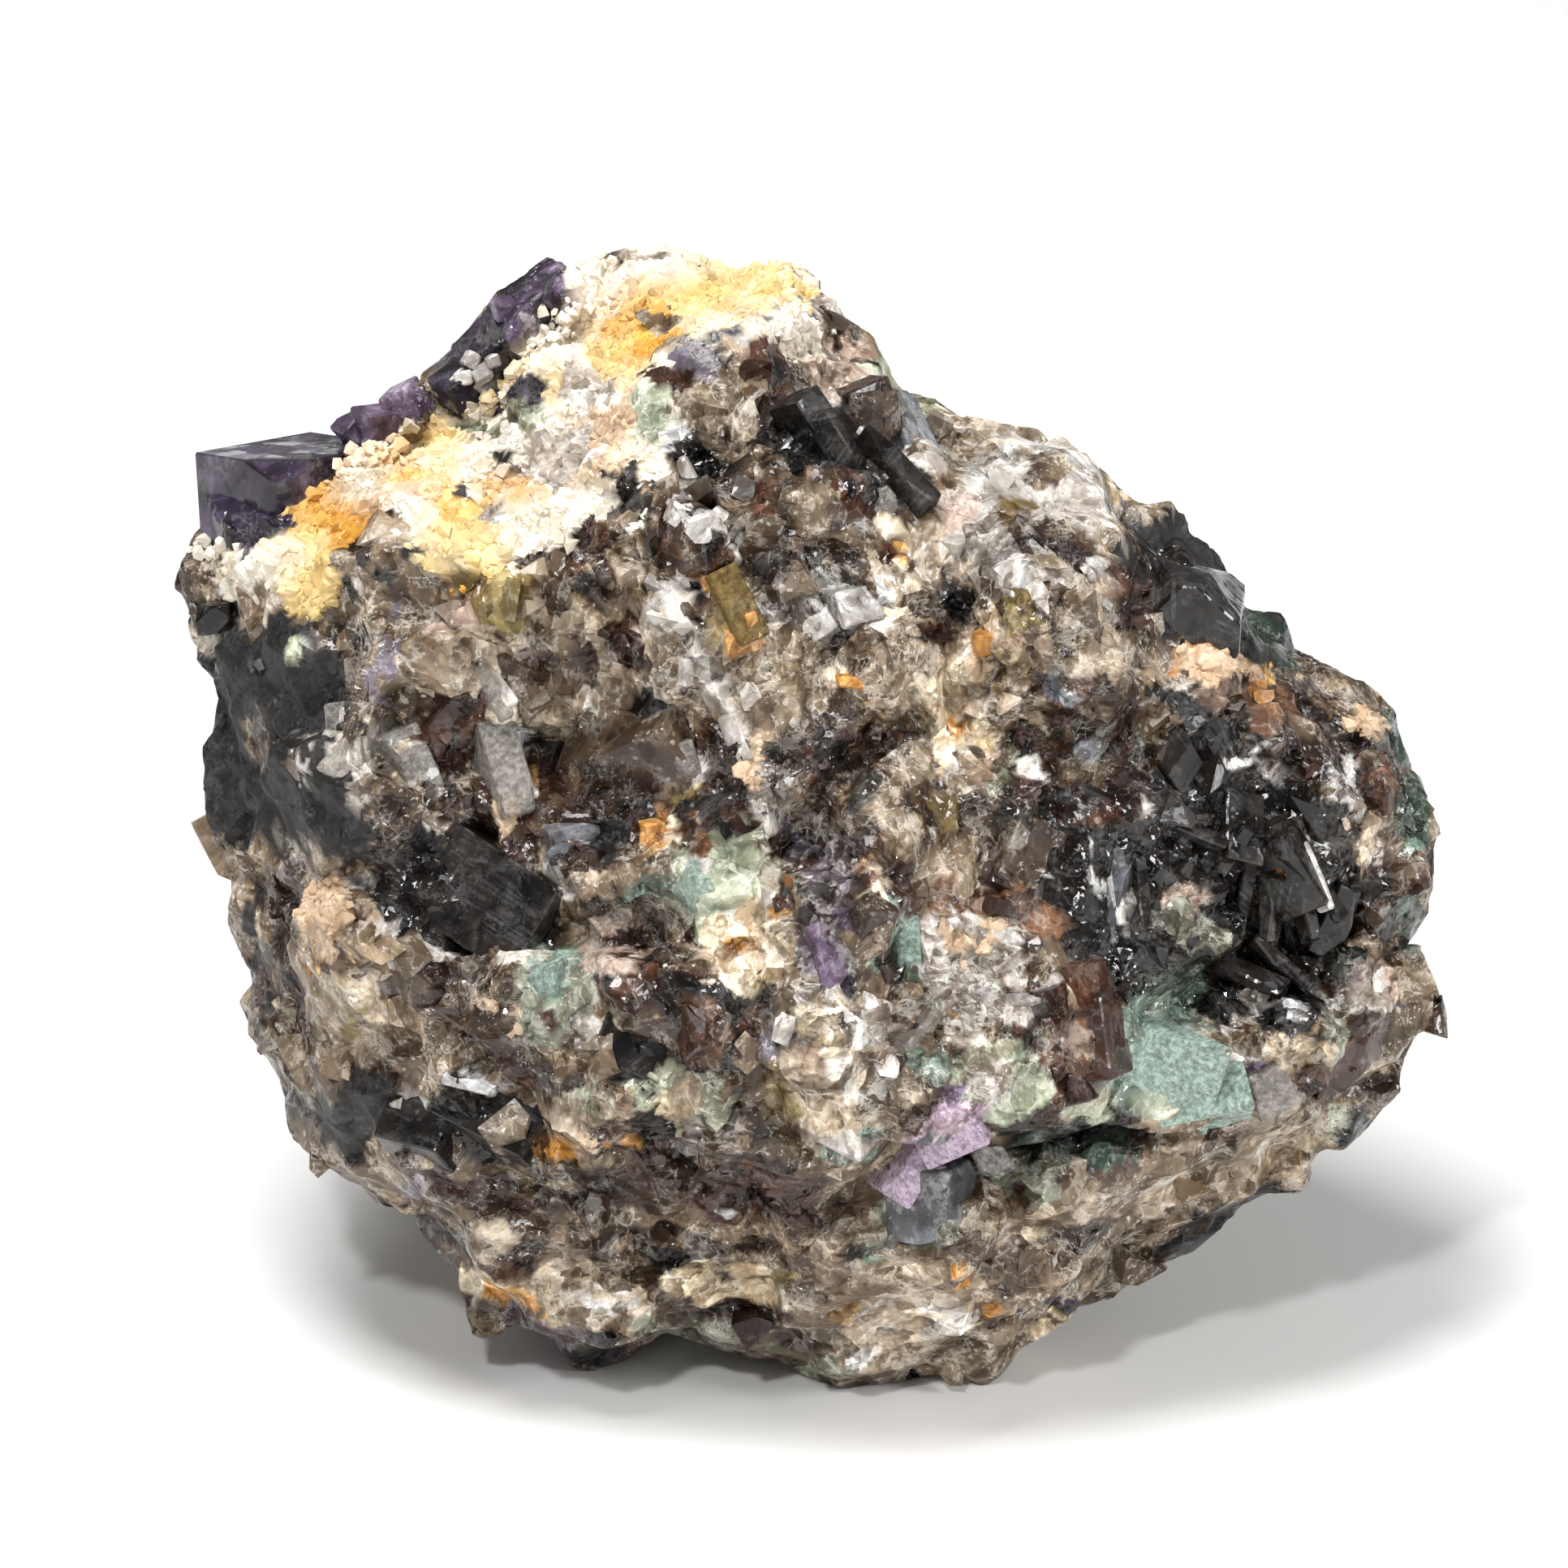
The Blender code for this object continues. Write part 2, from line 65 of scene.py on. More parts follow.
# name: colours, gloss, facets, haze and glint (whitish haze, rims and painted glints), stripes, relief, crumb
MINERALS = {
    "smoky": (("796956", "5e4e3a", "96866f", "6c5a45"), 0.66, 0.85, 0.72, 0.0, 1.0, 0.0),
    "smoky_dark": (("4d3e31", "3a2d22", "635343", "2d2219"), 0.76, 0.9, 0.42, 0.1, 1.0, 0.0),
    "grey_brown": (("978874", "7e6e5a", "ae9f8b", "8b7b66"), 0.64, 0.85, 0.85, 0.0, 1.0, 0.0),
    "brown": (("3d261c", "2a1912", "523525", "1f120c"), 0.74, 0.9, 0.16, 0.5, 0.9, 0.0),
    "black": (("181514", "231f1d", "0d0b0b", "312c28"), 0.88, 0.9, 0.07, 0.8, 0.8, 0.0),
    "black_crust": (("201e1f", "2b292a", "141313"), 0.35, 0.8, 0.10, 0.0, 1.2, 0.5),
    "charcoal": (("191717", "211f1f", "100f0f", "2b2928"), 0.42, 0.5, 0.07, 0.0, 0.5, 0.2),
    "beige": (("c0af98", "a99780", "d2c4b0", "95836e"), 0.50, 0.8, 0.80, 0.0, 1.0, 0.1),
    "pink_beige": (("b09a8a", "9a8374", "c4b2a4"), 0.50, 0.8, 0.80, 0.0, 1.0, 0.1),
    "milky": (("c2beb8", "ada8a1", "d6d3cf", "9b958d"), 0.66, 1.0, 0.85, 0.0, 1.0, 0.0),
    "white": (("dad4c9", "ece7de", "c7bfb3"), 0.50, 0.9, 0.50, 0.0, 1.0, 0.3),
    # This light grey is a painted glint, no mineral's own colour: it stands where cleavage faces catch the
    # light
    "painted_silver_glint": (("bcbdbd", "d6d7d7", "98999b", "e8e8e7"), 0.92, 1.3, 0.85, 0.4, 1.2, 0.0),
    "blue_grey": (("6a6d73", "55585e", "84888f", "46484d"), 0.85, 1.1, 0.45, 0.5, 0.8, 0.0),
    "crust": (("e9e0cd", "f2ebdd", "dfd0b4", "f8f3ea"), 0.34, 0.26, 0.20, 0.0, 0.8, 1.0),
    "yellow": (("ecd298", "e3c178", "f2dfae", "dcb765"), 0.34, 0.26, 0.25, 0.0, 0.8, 1.0),
    "orange": (("dea42a", "cf8f18", "e8b744", "c8881f"), 0.34, 0.26, 0.15, 0.0, 0.9, 1.0),
    "cream": (("e2d4b8", "cbb694", "f2e7cf", "d9c49c"), 0.60, 0.9, 0.80, 0.0, 1.0, 0.1),
    "amber": (("c98d3f", "a86f2c", "dcae62", "b9823f"), 0.55, 0.9, 0.45, 0.0, 1.0, 0.1),
    "dusky": (("776c74", "584e53", "968e96", "443b40"), 0.75, 0.9, 0.55, 0.1, 0.8, 0.0),
    "peach": (("d9bd9c", "e4cdb2", "c8a988"), 0.30, 0.5, 0.30, 0.0, 0.9, 0.8),
    "ochre": (("a8865a", "8f6c42", "bf9c6c"), 0.32, 0.6, 0.45, 0.0, 1.0, 0.5),
    "rust": (("67452c", "53341f", "7c573a"), 0.50, 0.8, 0.45, 0.3, 1.0, 0.2),
    "olive": (("7a693f", "604f2c", "8f7f52"), 0.75, 0.8, 0.25, 0.2, 0.6, 0.0),
    "violet": (("2e2933", "3c3347", "54455f", "1e1a21"), 0.82, 0.9, 0.14, 0.2, 0.5, 0.0),
    "purple": (("5f4e67", "4b3d53", "80708a"), 0.78, 0.9, 0.35, 0.0, 0.7, 0.0),
    "lilac": (("7d7680", "96909a", "645d68"), 0.75, 0.9, 0.60, 0.2, 0.8, 0.0),
    "pink": (("9c8797", "84707e", "b5a3b0", "a88fa4"), 0.70, 0.9, 0.60, 0.0, 0.9, 0.0),
    "green": (("8a9f93", "73897c", "a5b9ac", "62776a"), 0.78, 0.9, 0.65, 0.2, 0.8, 0.0),
    "pale_green": (("aab09a", "959c84", "c0c5b0", "848c74"), 0.65, 0.9, 0.85, 0.0, 0.9, 0.1),
    "grey_green": (("7e8071", "6a6c5d", "959788"), 0.62, 0.9, 0.70, 0.1, 1.0, 0.0),
    "dark_green": (("35463b", "27362d", "46584c", "1c2821"), 0.82, 0.9, 0.30, 0.3, 0.8, 0.0),
}

# The ground minerals from dark to light: the rock strays up and down this ladder from grain to grain.
LADDER = ("black", "brown", "smoky_dark", "smoky", "grey_brown", "beige", "milky", "white")
# Where each mineral lies on the broken face: mineral, u, v, half width, half height, turn in degrees.
# Later rows lie over earlier ones.
GROUND = [
    ("smoky_dark", -16, 0, 12, 12, 0), ("grey_brown", -15, 12, 13, 7, -8), ("smoky", -27, 13, 4.5, 6, 10),
    ("grey_brown", -29, 15, 2.4, 2.6, 10), ("charcoal", -33.2, 2.5, 5.6, 9.6, 6),
    ("smoky", -30, -8, 4.5, 6, 12), ("smoky", -34, -9, 3, 7.4, 12), ("smoky", -24, -11, 6, 4, -20),
    ("charcoal", -27.5, -18.5, 3, 3, -30), ("smoky_dark", -6, -25, 9, 6.5, 0),
    ("smoky", -22, -23, 6, 3, -20), ("smoky_dark", -20.5, -25.6, 4.4, 2.4, -12),
    ("smoky_dark", 3, 20, 9, 6, -30), ("smoky", -8, 19, 6, 4, -20), ("smoky_dark", -5, 26.5, 9, 3.2, -8),
    ("smoky", -6, 24.6, 4, 1.6, -8), ("smoky_dark", -4, 16, 6, 5, 0), ("grey_brown", 2, 9, 9, 7, 0),
    ("grey_brown", 13, 14, 6.4, 10.5, 14), ("beige", 13.6, 12.5, 4.8, 8.5, 14),
    ("milky", 13.5, 18, 5, 5, 20), ("smoky_dark", 3, 0, 7, 7, 0), ("smoky", 9, 0, 5, 6, 0),
    ("black", 24, 0.5, 12, 7.8, -6), ("black", 28, -5.5, 8.4, 7.6, -10), ("black", 18.5, -5, 5.5, 6.5, 10),
    ("smoky_dark", 17, 4, 6, 5, 0), ("charcoal", 24.5, 13.5, 4.2, 6.4, 42),
    ("smoky_dark", 31, 5, 5.5, 3.4, -25), ("smoky_dark", 35.4, -3, 2.4, 6, 6),
    ("grey_brown", 35, -12, 4, 4.4, 10), ("smoky", 31, -16.5, 6.5, 3.6, 34),
    ("smoky", 11, -28.5, 9, 5.4, 26), ("grey_brown", 4, -26, 4, 5, 0), ("smoky", 2, -32, 7, 3.6, 8),
    ("beige", 5.5, -32, 4.5, 2.2, 14), ("smoky_dark", 15, -21, 5.5, 2.2, 14),
    ("dark_green", 15.5, -20.6, 4.6, 1.5, 10), ("milky", 11, -9.5, 5, 3.2, -14),
    ("pale_green", 11.5, -16.2, 3.6, 2.6, 0), ("beige", 2.5, -15.5, 4.5, 4.5, 0),
    ("pale_green", -8, -17.2, 3, 2.6, 0), ("grey_green", -15.8, -11.4, 3, 3.4, 0),
    ("smoky_dark", -8, -13.2, 4.6, 2.8, 0), ("smoky_dark", -15, -4.6, 5.8, 3.4, 10),
    ("pale_green", -5.4, -4.6, 4, 3.6, -40), ("cream", -3.2, -8, 2.8, 3.4, -15),
]
CREST = [
    ("crust", -20.5, 20.5, 5.6, 4.6, 36), ("crust", -14, 24.6, 5.6, 6.6, 30),
    ("crust", -9, 30.6, 5.2, 4.2, 20), ("crust", -3.4, 31.6, 4.0, 3.2, -20),
    ("crust", -26.5, 21, 3.4, 3.0, 20), ("crust", -18.5, 16.6, 4.4, 2.6, 40),
    ("crust", -12.6, 19.8, 3.6, 2.6, 40), ("peach", -27.9, 21.4, 1.6, 1.2, 20),
    ("white", -28.4, 22.7, 1.1, 0.8, 20), ("peach", -12.6, 23.2, 2.2, 3.4, -30),
    ("white", -13.6, 26.6, 2.0, 1.8, 0), ("white", -15.6, 21.6, 2.6, 1.4, 30),
    ("pale_green", -17.4, 24.6, 2.0, 1.6, 40), ("yellow", -23.6, 22.2, 2.2, 1.5, 20),
    ("yellow", -22.4, 17.2, 2.2, 2.6, -20), ("yellow", -20.8, 15.2, 2.0, 1.5, 30),
    ("yellow", -16.2, 26.2, 1.4, 1.2, 20), ("yellow", -10.5, 29.8, 3.6, 1.8, 24),
    ("yellow", -5.2, 31.9, 4.2, 1.7, 6), ("yellow", -11.6, 28.2, 1.6, 1.6, 30),
    ("orange", -9.2, 30.9, 0.8, 3.2, -38), ("yellow", -7.4, 33.0, 2.2, 1.2, 40),
    ("orange", -12.4, 30.4, 1.2, 0.6, 10), ("orange", -8.9, 29.5, 1.3, 0.6, -40),
    ("yellow", -2.6, 32.4, 3.2, 1.2, -14), ("white", -9.6, 34.2, 2.6, 0.9, 20),
    ("crust", -13.2, 32.6, 2.2, 1.5, 0), ("crust", -14.6, 32.4, 1.4, 1.2, 0),
    ("crust", -9.4, 33.6, 3.4, 1.4, 14), ("crust", -2.0, 29.6, 2.8, 1.2, -20),
    ("blue_grey", -1.2, 33.0, 0.7, 0.6, 0), ("blue_grey", -2.7, 30.6, 0.7, 0.35, 0),
    ("blue_grey", -0.8, 30.7, 0.5, 0.4, 0), ("blue_grey", -6.4, 29.3, 0.9, 0.3, 10),
    ("blue_grey", -5.2, 29.7, 0.5, 0.3, 0), ("white", 0.6, 31.0, 1.0, 1.4, 20),
    ("orange", -29.2, 18.0, 1.4, 2.6, -14), ("orange", -26.4, 20.6, 2.0, 0.7, 12),
    ("orange", -18.4, 19.4, 2.4, 0.5, 4), ("orange", -23.2, 19.0, 0.4, 1.5, -20),
    ("orange", -21.6, 14.3, 1.2, 0.8, 20), ("orange", -30.4, 16.2, 1.0, 0.8, 60),
    ("ochre", -29.4, 19.8, 0.6, 0.8, 0), ("charcoal", -19.6, 21.4, 0.7, 0.35, 20),
    ("charcoal", -21.1, 20.2, 0.5, 0.7, 0), ("charcoal", -24.2, 16.4, 0.5, 0.5, 0),
    ("charcoal", -26.4, 18.8, 0.5, 0.5, 0), ("charcoal", -20.0, 23.4, 0.35, 0.3, 0),
    ("painted_silver_glint", -19.0, 20.6, 0.9, 0.5, 0), ("charcoal", -17.8, 20.4, 0.35, 0.3, 0),
    ("crust", -31.2, 20.9, 1.8, 0.32, 12), ("yellow", -32.3, 15.3, 1.6, 1.1, 10),
    ("crust", -34.6, 14.6, 2.6, 1.3, 10), ("grey_green", -34.2, 16.8, 2.4, 0.7, -4),
    ("smoky", -37.2, 14.2, 1.2, 1.2, 0), ("painted_silver_glint", -36.8, 16.5, 0.6, 0.5, 0),
    ("beige", -35.2, 12.4, 3.0, 1.1, -10), ("yellow", -30.8, 13.6, 1.3, 1.3, 0),
    ("pale_green", -9.8, 24.8, 1.0, 1.6, 0), ("pale_green", -21.0, 23.4, 1.0, 0.7, 0),
]
UPPER = [
    ("smoky", -8.6, 29.0, 1.0, 0.8, 0), ("lilac", -7.2, 27.7, 1.4, 1.0, -30),
    ("beige", -4.2, 28.6, 2.4, 0.8, -6), ("brown", -3.0, 27.6, 1.3, 1.2, 20),
    ("brown", -8.9, 26.6, 1.5, 1.2, 0), ("black", -2.5, 26.8, 0.6, 0.8, 0),
    ("pink_beige", 1.6, 27.0, 2.0, 2.0, 10), ("pale_green", 4.3, 26.8, 1.2, 1.8, 20),
    ("pale_green", 6.8, 24.6, 1.9, 1.8, 20), ("white", 8.2, 23.8, 1.0, 0.8, 0),
    ("milky", 7.4, 22.8, 1.6, 0.8, -30), ("brown", 3.4, 24.2, 1.7, 2.0, 30),
    ("black", -1.4, 22.8, 2.3, 2.1, -30), ("black", 1.4, 22.3, 4.0, 1.3, -38),
    ("black", 4.8, 20.6, 2.2, 1.6, -30), ("painted_silver_glint", -1.2, 23.4, 0.8, 0.3, -40),
    ("milky", 0.6, 23.4, 2.0, 0.35, -38), ("milky", 4.4, 22.4, 2.0, 0.4, -36),
    ("milky", -8.4, 22.7, 1.3, 0.8, -20), ("painted_silver_glint", -8.3, 22.7, 0.6, 0.4, 0),
    ("black", -7.0, 21.9, 1.2, 0.9, 0), ("black", -11.2, 19.8, 1.6, 1.5, 20),
    ("black_crust", -12.2, 18.8, 0.9, 0.7, 0), ("smoky_dark", -13.2, 17.2, 1.6, 1.2, 0),
    ("milky", -7.4, 19.4, 0.6, 2.2, 22), ("milky", -5.6, 17.2, 1.6, 0.6, -36),
    ("milky", -3.4, 16.2, 1.4, 0.6, -20), ("olive", -19.2, 12.8, 1.8, 1.6, 0),
    ("smoky_dark", -15.8, 14.6, 2.2, 1.8, 0), ("pink_beige", -22.2, 12.4, 1.8, 1.3, 0),
    ("milky", -19.6, 17.6, 1.0, 0.8, 0), ("brown", -27.5, 16.1, 1.0, 0.8, 0),
    ("black", -28.5, 13.5, 0.4, 0.4, 0), ("black", -27.3, 11.5, 0.5, 0.4, 0),
    ("black", -26.0, 14.4, 0.4, 0.4, 0), ("milky", -9.0, 13.2, 1.6, 1.6, 20),
    ("white", -8.6, 12.6, 0.8, 0.6, 0), ("black", -7.4, 13.6, 0.6, 1.2, 16),
    ("black", -6.8, 11.8, 0.9, 0.9, 0), ("amber", -5.6, 12.9, 0.45, 2.1, 26),
    ("olive", -4.9, 12.4, 0.9, 2.2, 26), ("amber", -3.9, 10.8, 0.7, 0.8, 0),
    ("milky", -1.2, 12.6, 1.6, 1.7, 0), ("painted_silver_glint", 1.8, 12.4, 2.4, 1.5, 6),
    ("white", 3.4, 11.6, 0.9, 0.8, 0), ("painted_silver_glint", 0.6, 11.2, 1.2, 0.6, 0),
    ("milky", 1.0, 14.6, 2.2, 0.8, 20), ("smoky_dark", 8.4, 12.8, 1.7, 2.2, 0),
    ("black", 8.8, 13.4, 1.0, 1.2, 0), ("brown", 7.0, 11.2, 1.0, 0.8, 0),
    ("cream", 4.7, 17.8, 0.45, 0.6, 0), ("cream", 6.0, 17.4, 0.5, 0.5, 0),
    ("amber", 5.2, 16.2, 0.4, 0.5, 0), ("cream", 8.4, 19.5, 0.35, 0.6, 0),
    ("smoky_dark", -16.5, 8.6, 3.0, 2.0, 0), ("brown", -11.6, 10.6, 2.0, 1.4, -30),
    ("smoky", -12.0, 13.6, 2.2, 1.6, 0), ("white", 16.2, 22.4, 2.0, 1.0, -20),
    ("cream", 18.4, 19.9, 0.9, 1.1, -40), ("purple", 18.7, 19.6, 0.4, 0.4, 0),
    ("pink_beige", 9.0, 18.8, 1.2, 1.4, 0), ("beige", 12.0, 23.2, 2.6, 0.7, -6),
    ("olive", 12.6, 19.0, 0.9, 0.9, 0), ("smoky", 14.7, 20.4, 1.0, 1.0, 0),
    ("smoky", 15.0, 16.4, 1.8, 1.6, 0), ("olive", 13.2, 13.0, 1.3, 1.2, 0),
    ("ochre", 12.3, 18.0, 0.6, 0.25, 0), ("ochre", 13.0, 17.4, 0.3, 0.4, 0),
    ("ochre", 17.5, 10.8, 1.3, 0.35, 20), ("amber", 10.5, 10.2, 1.0, 0.8, 10),
    ("peach", 10.2, 8.6, 1.6, 1.0, 10), ("smoky", 12.4, 9.2, 1.6, 1.6, 0),
    ("smoky", 16.0, 12.2, 1.6, 2.4, 10), ("cream", 9.2, 5.4, 1.9, 4.2, 4), ("beige", 9.8, 3.0, 1.4, 1.6, 0),
    ("amber", 8.8, 4.6, 0.3, 1.2, -10),
]
RIGHT = [
    ("black", 22.0, 14.0, 2.0, 2.6, 30), ("brown", 20.4, 12.8, 1.2, 1.6, 20),
    ("painted_silver_glint", 23.3, 13.0, 0.35, 0.6, 0), ("charcoal", 26.0, 14.0, 2.4, 2.0, 42),
    ("dark_green", 28.0, 11.2, 1.0, 2.4, 38), ("black", 24.0, 11.2, 2.0, 1.2, 0),
    ("peach", 25.4, 9.2, 2.4, 0.9, -18), ("amber", 22.8, 9.4, 0.35, 0.9, -20),
    ("amber", 24.0, 10.5, 0.9, 0.35, -10), ("amber", 27.3, 8.6, 0.8, 0.45, -20),
    ("rust", 28.2, 6.6, 1.9, 1.1, -10), ("pink_beige", 25.2, 7.6, 1.6, 0.7, -10),
    ("grey_brown", 32.0, 7.0, 1.8, 1.3, -30), ("peach", 34.4, 5.4, 0.9, 1.2, 20),
    ("dark_green", 36.4, 4.0, 0.8, 2.2, 20), ("painted_silver_glint", 27.0, 4.2, 1.2, 0.4, 10),
    ("milky", 29.0, 2.2, 1.4, 0.5, -14), ("painted_silver_glint", 33.2, 1.6, 0.5, 1.6, 10),
    ("milky", 35.0, -1.6, 0.5, 2.4, 10), ("beige", 33.9, -2.0, 0.6, 2.2, -6),
    ("dark_green", 37.2, -6.6, 0.9, 2.2, 0), ("dark_green", 36.9, -0.6, 0.8, 2.4, 0),
    ("dark_green", 36.6, 0.6, 0.6, 1.4, 0), ("blue_grey", 16.5, 3.6, 1.2, 0.6, 30),
    ("blue_grey", 16.0, 7.0, 1.0, 0.7, 0), ("painted_silver_glint", 20.3, 0.7, 0.7, 1.0, 20),
    ("milky", 13.8, 2.1, 1.4, 0.3, -10), ("brown", 16.0, 1.4, 2.6, 0.4, -26),
    ("brown", 16.8, 0.4, 2.4, 0.35, -30), ("blue_grey", 14.6, 0.9, 1.3, 0.3, -26),
    ("pale_green", 11.5, 1.2, 0.6, 1.2, 0), ("black", 12.4, -0.8, 1.0, 1.3, 0),
    ("painted_silver_glint", 13.8, -4.0, 1.3, 0.3, -24), ("blue_grey", 18.4, -7.2, 0.9, 1.6, 12),
    ("black", 17.0, -5.6, 1.0, 3.2, 10), ("painted_silver_glint", 17.6, -4.2, 0.25, 2.2, 14),
    ("painted_silver_glint", 19.4, -5.8, 0.22, 2.0, 10), ("pink_beige", 23.2, -5.4, 1.3, 0.6, 0),
    ("grey_green", 22.6, -7.2, 2.2, 1.1, -10), ("milky", 21.4, -7.6, 0.6, 0.4, 0),
    ("dark_green", 23.2, -10.6, 0.9, 1.3, 20), ("painted_silver_glint", 30.5, -3.0, 0.2, 2.2, 24),
    ("painted_silver_glint", 29.0, -4.6, 1.6, 0.2, 40), ("painted_silver_glint", 32.2, -5.6, 0.2, 1.8, -20),
    ("amber", 27.8, -3.2, 0.3, 0.25, 0), ("rust", 31.0, -8.0, 0.5, 0.4, 0),
    ("milky", 34.6, -11.4, 1.0, 2.0, 10), ("pink_beige", 35.6, -10.6, 0.7, 1.4, 20),
    ("grey_brown", 37.4, -11.0, 1.0, 2.4, 16), ("dark_green", 32.6, -10.0, 1.0, 1.0, 0),
    ("beige", 33.0, -12.0, 0.4, 1.5, -14), ("painted_silver_glint", 28.2, -11.6, 1.4, 0.4, -20),
    ("painted_silver_glint", 26.4, -12.6, 1.0, 0.35, 30), ("violet", 30.4, -13.4, 0.7, 0.5, 0),
    ("purple", 31.4, -9.5, 0.35, 0.3, 0), ("grey_green", 31.8, -13.6, 0.9, 1.6, 0),
    ("smoky_dark", 11.8, -2.6, 1.4, 1.4, 0), ("rust", 9.6, -5.2, 4.6, 0.7, -4),
    ("rust", 14.4, -6.4, 1.6, 0.8, -20), ("brown", 12.6, -5.6, 1.8, 0.6, 0),
    ("smoky", 7.6, 1.0, 1.9, 1.8, 0), ("olive", 8.2, 0.2, 0.9, 1.0, 0),
]
LEFT = [
    ("black_crust", -37.0, 12.2, 1.5, 0.9, 0), ("black_crust", -32.6, 11.3, 1.7, 0.9, -8),
    ("black_crust", -35.0, 10.8, 0.7, 0.5, 0), ("black_crust", -29.2, 7.0, 0.8, 0.8, 0),
    ("black_crust", -29.0, 5.0, 0.8, 0.8, 0), ("black_crust", -28.9, 1.6, 0.8, 0.9, 0),
    ("black_crust", -30.0, -0.5, 1.3, 0.9, 20), ("charcoal", -29.6, 3.2, 0.8, 3.6, 0),
    ("grey_green", -36.5, 10.0, 0.5, 0.7, 0), ("lilac", -37.0, 8.9, 0.5, 0.5, 0),
    ("pale_green", -31.8, 9.6, 0.7, 0.5, 0), ("grey_brown", -34.2, 4.2, 0.5, 1.6, 10),
    ("milky", -31.2, 3.0, 0.4, 1.0, 0), ("milky", -31.6, -1.6, 0.3, 0.8, 20),
    ("milky", -28.6, -4.2, 0.5, 0.6, 0), ("milky", -27.6, 3.2, 0.9, 3.4, -10),
    ("white", -27.8, 2.4, 0.5, 2.0, -10), ("lilac", -26.4, 9.6, 0.6, 3.6, -10),
    ("beige", -25.0, 3.6, 1.1, 2.4, 40), ("milky", -23.0, -1.0, 0.9, 1.8, 26),
    ("painted_silver_glint", -28.2, -4.4, 0.45, 0.4, 0), ("peach", -29.8, -6.6, 1.2, 2.8, 10),
    ("amber", -31.2, -8.2, 0.3, 0.25, 0), ("ochre", -30.6, -9.0, 0.5, 0.4, 0),
    ("charcoal", -34.4, -7.0, 0.4, 2.4, -14), ("charcoal", -33.0, -11.4, 0.35, 2.2, -14),
    ("milky", -33.0, -16.0, 0.8, 0.7, 0), ("black", -32.2, -17.4, 0.5, 0.4, 0),
    ("smoky", -29.4, -15.0, 1.2, 1.2, 0), ("olive", -28.2, -12.4, 0.8, 0.7, 0),
    ("brown", -22.0, 5.4, 2.2, 2.6, 0), ("black", -22.5, 4.4, 0.8, 1.0, 0),
    ("black", -22.2, 7.0, 0.8, 0.6, 0), ("black", -23.0, 2.1, 0.6, 0.6, 0),
    ("milky", -19.2, 7.6, 0.4, 1.6, -30), ("black", -17.9, 6.0, 0.7, 0.7, 0),
    ("milky", -18.8, 3.0, 1.1, 3.0, 8), ("painted_silver_glint", -18.4, 4.4, 0.3, 1.2, 10),
    ("peach", -18.8, -0.7, 0.4, 0.7, 0), ("brown", -14.6, 3.0, 2.6, 1.5, 0),
    ("black", -15.4, 3.8, 1.1, 0.7, 0), ("amber", -16.8, 2.0, 0.4, 0.5, 0),
    ("smoky", -15.0, 7.0, 1.7, 1.0, 0), ("black", -9.8, 4.4, 1.9, 3.2, 10),
    ("lilac", -9.5, 3.6, 0.5, 1.5, 30), ("milky", -7.8, 3.2, 0.8, 1.2, 0),
    ("brown", -6.0, 4.8, 0.9, 1.1, 0), ("olive", -8.0, 1.8, 1.1, 0.8, 0),
    ("blue_grey", -14.5, -1.2, 1.3, 0.9, 10), ("blue_grey", -15.6, -2.6, 0.9, 0.6, 0),
    ("charcoal", -12.6, -1.8, 1.3, 1.3, 0), ("black", -22.4, -4.6, 4.6, 3.6, -24),
    ("charcoal", -24.0, -1.6, 2.4, 1.0, -20), ("black", -18.6, -7.0, 2.0, 1.5, -30),
    ("milky", -26.6, -6.7, 2.0, 0.35, -6), ("milky", -23.0, -8.3, 2.2, 0.35, -22),
    ("white", -19.0, -9.0, 2.2, 0.35, -8), ("rust", -17.5, -4.5, 0.5, 0.5, 0),
    ("amber", -17.8, -4.6, 0.2, 0.3, 0), ("brown", -23.0, -10.6, 1.2, 1.0, -30),
    ("pink_beige", -21.0, -12.5, 1.5, 0.8, -20), ("peach", -19.3, -12.8, 1.0, 0.6, 0),
    ("beige", -26.4, -9.4, 1.8, 1.0, -20), ("beige", -14.0, -4.6, 2.4, 1.0, 10),
    ("smoky", -11.0, -4.8, 1.6, 1.3, 0), ("pink_beige", -12.6, -8.2, 2.2, 1.6, 0),
    ("brown", -11.3, -8.0, 0.9, 0.5, 30), ("grey_brown", -14.4, -7.8, 1.0, 0.7, 10),
]
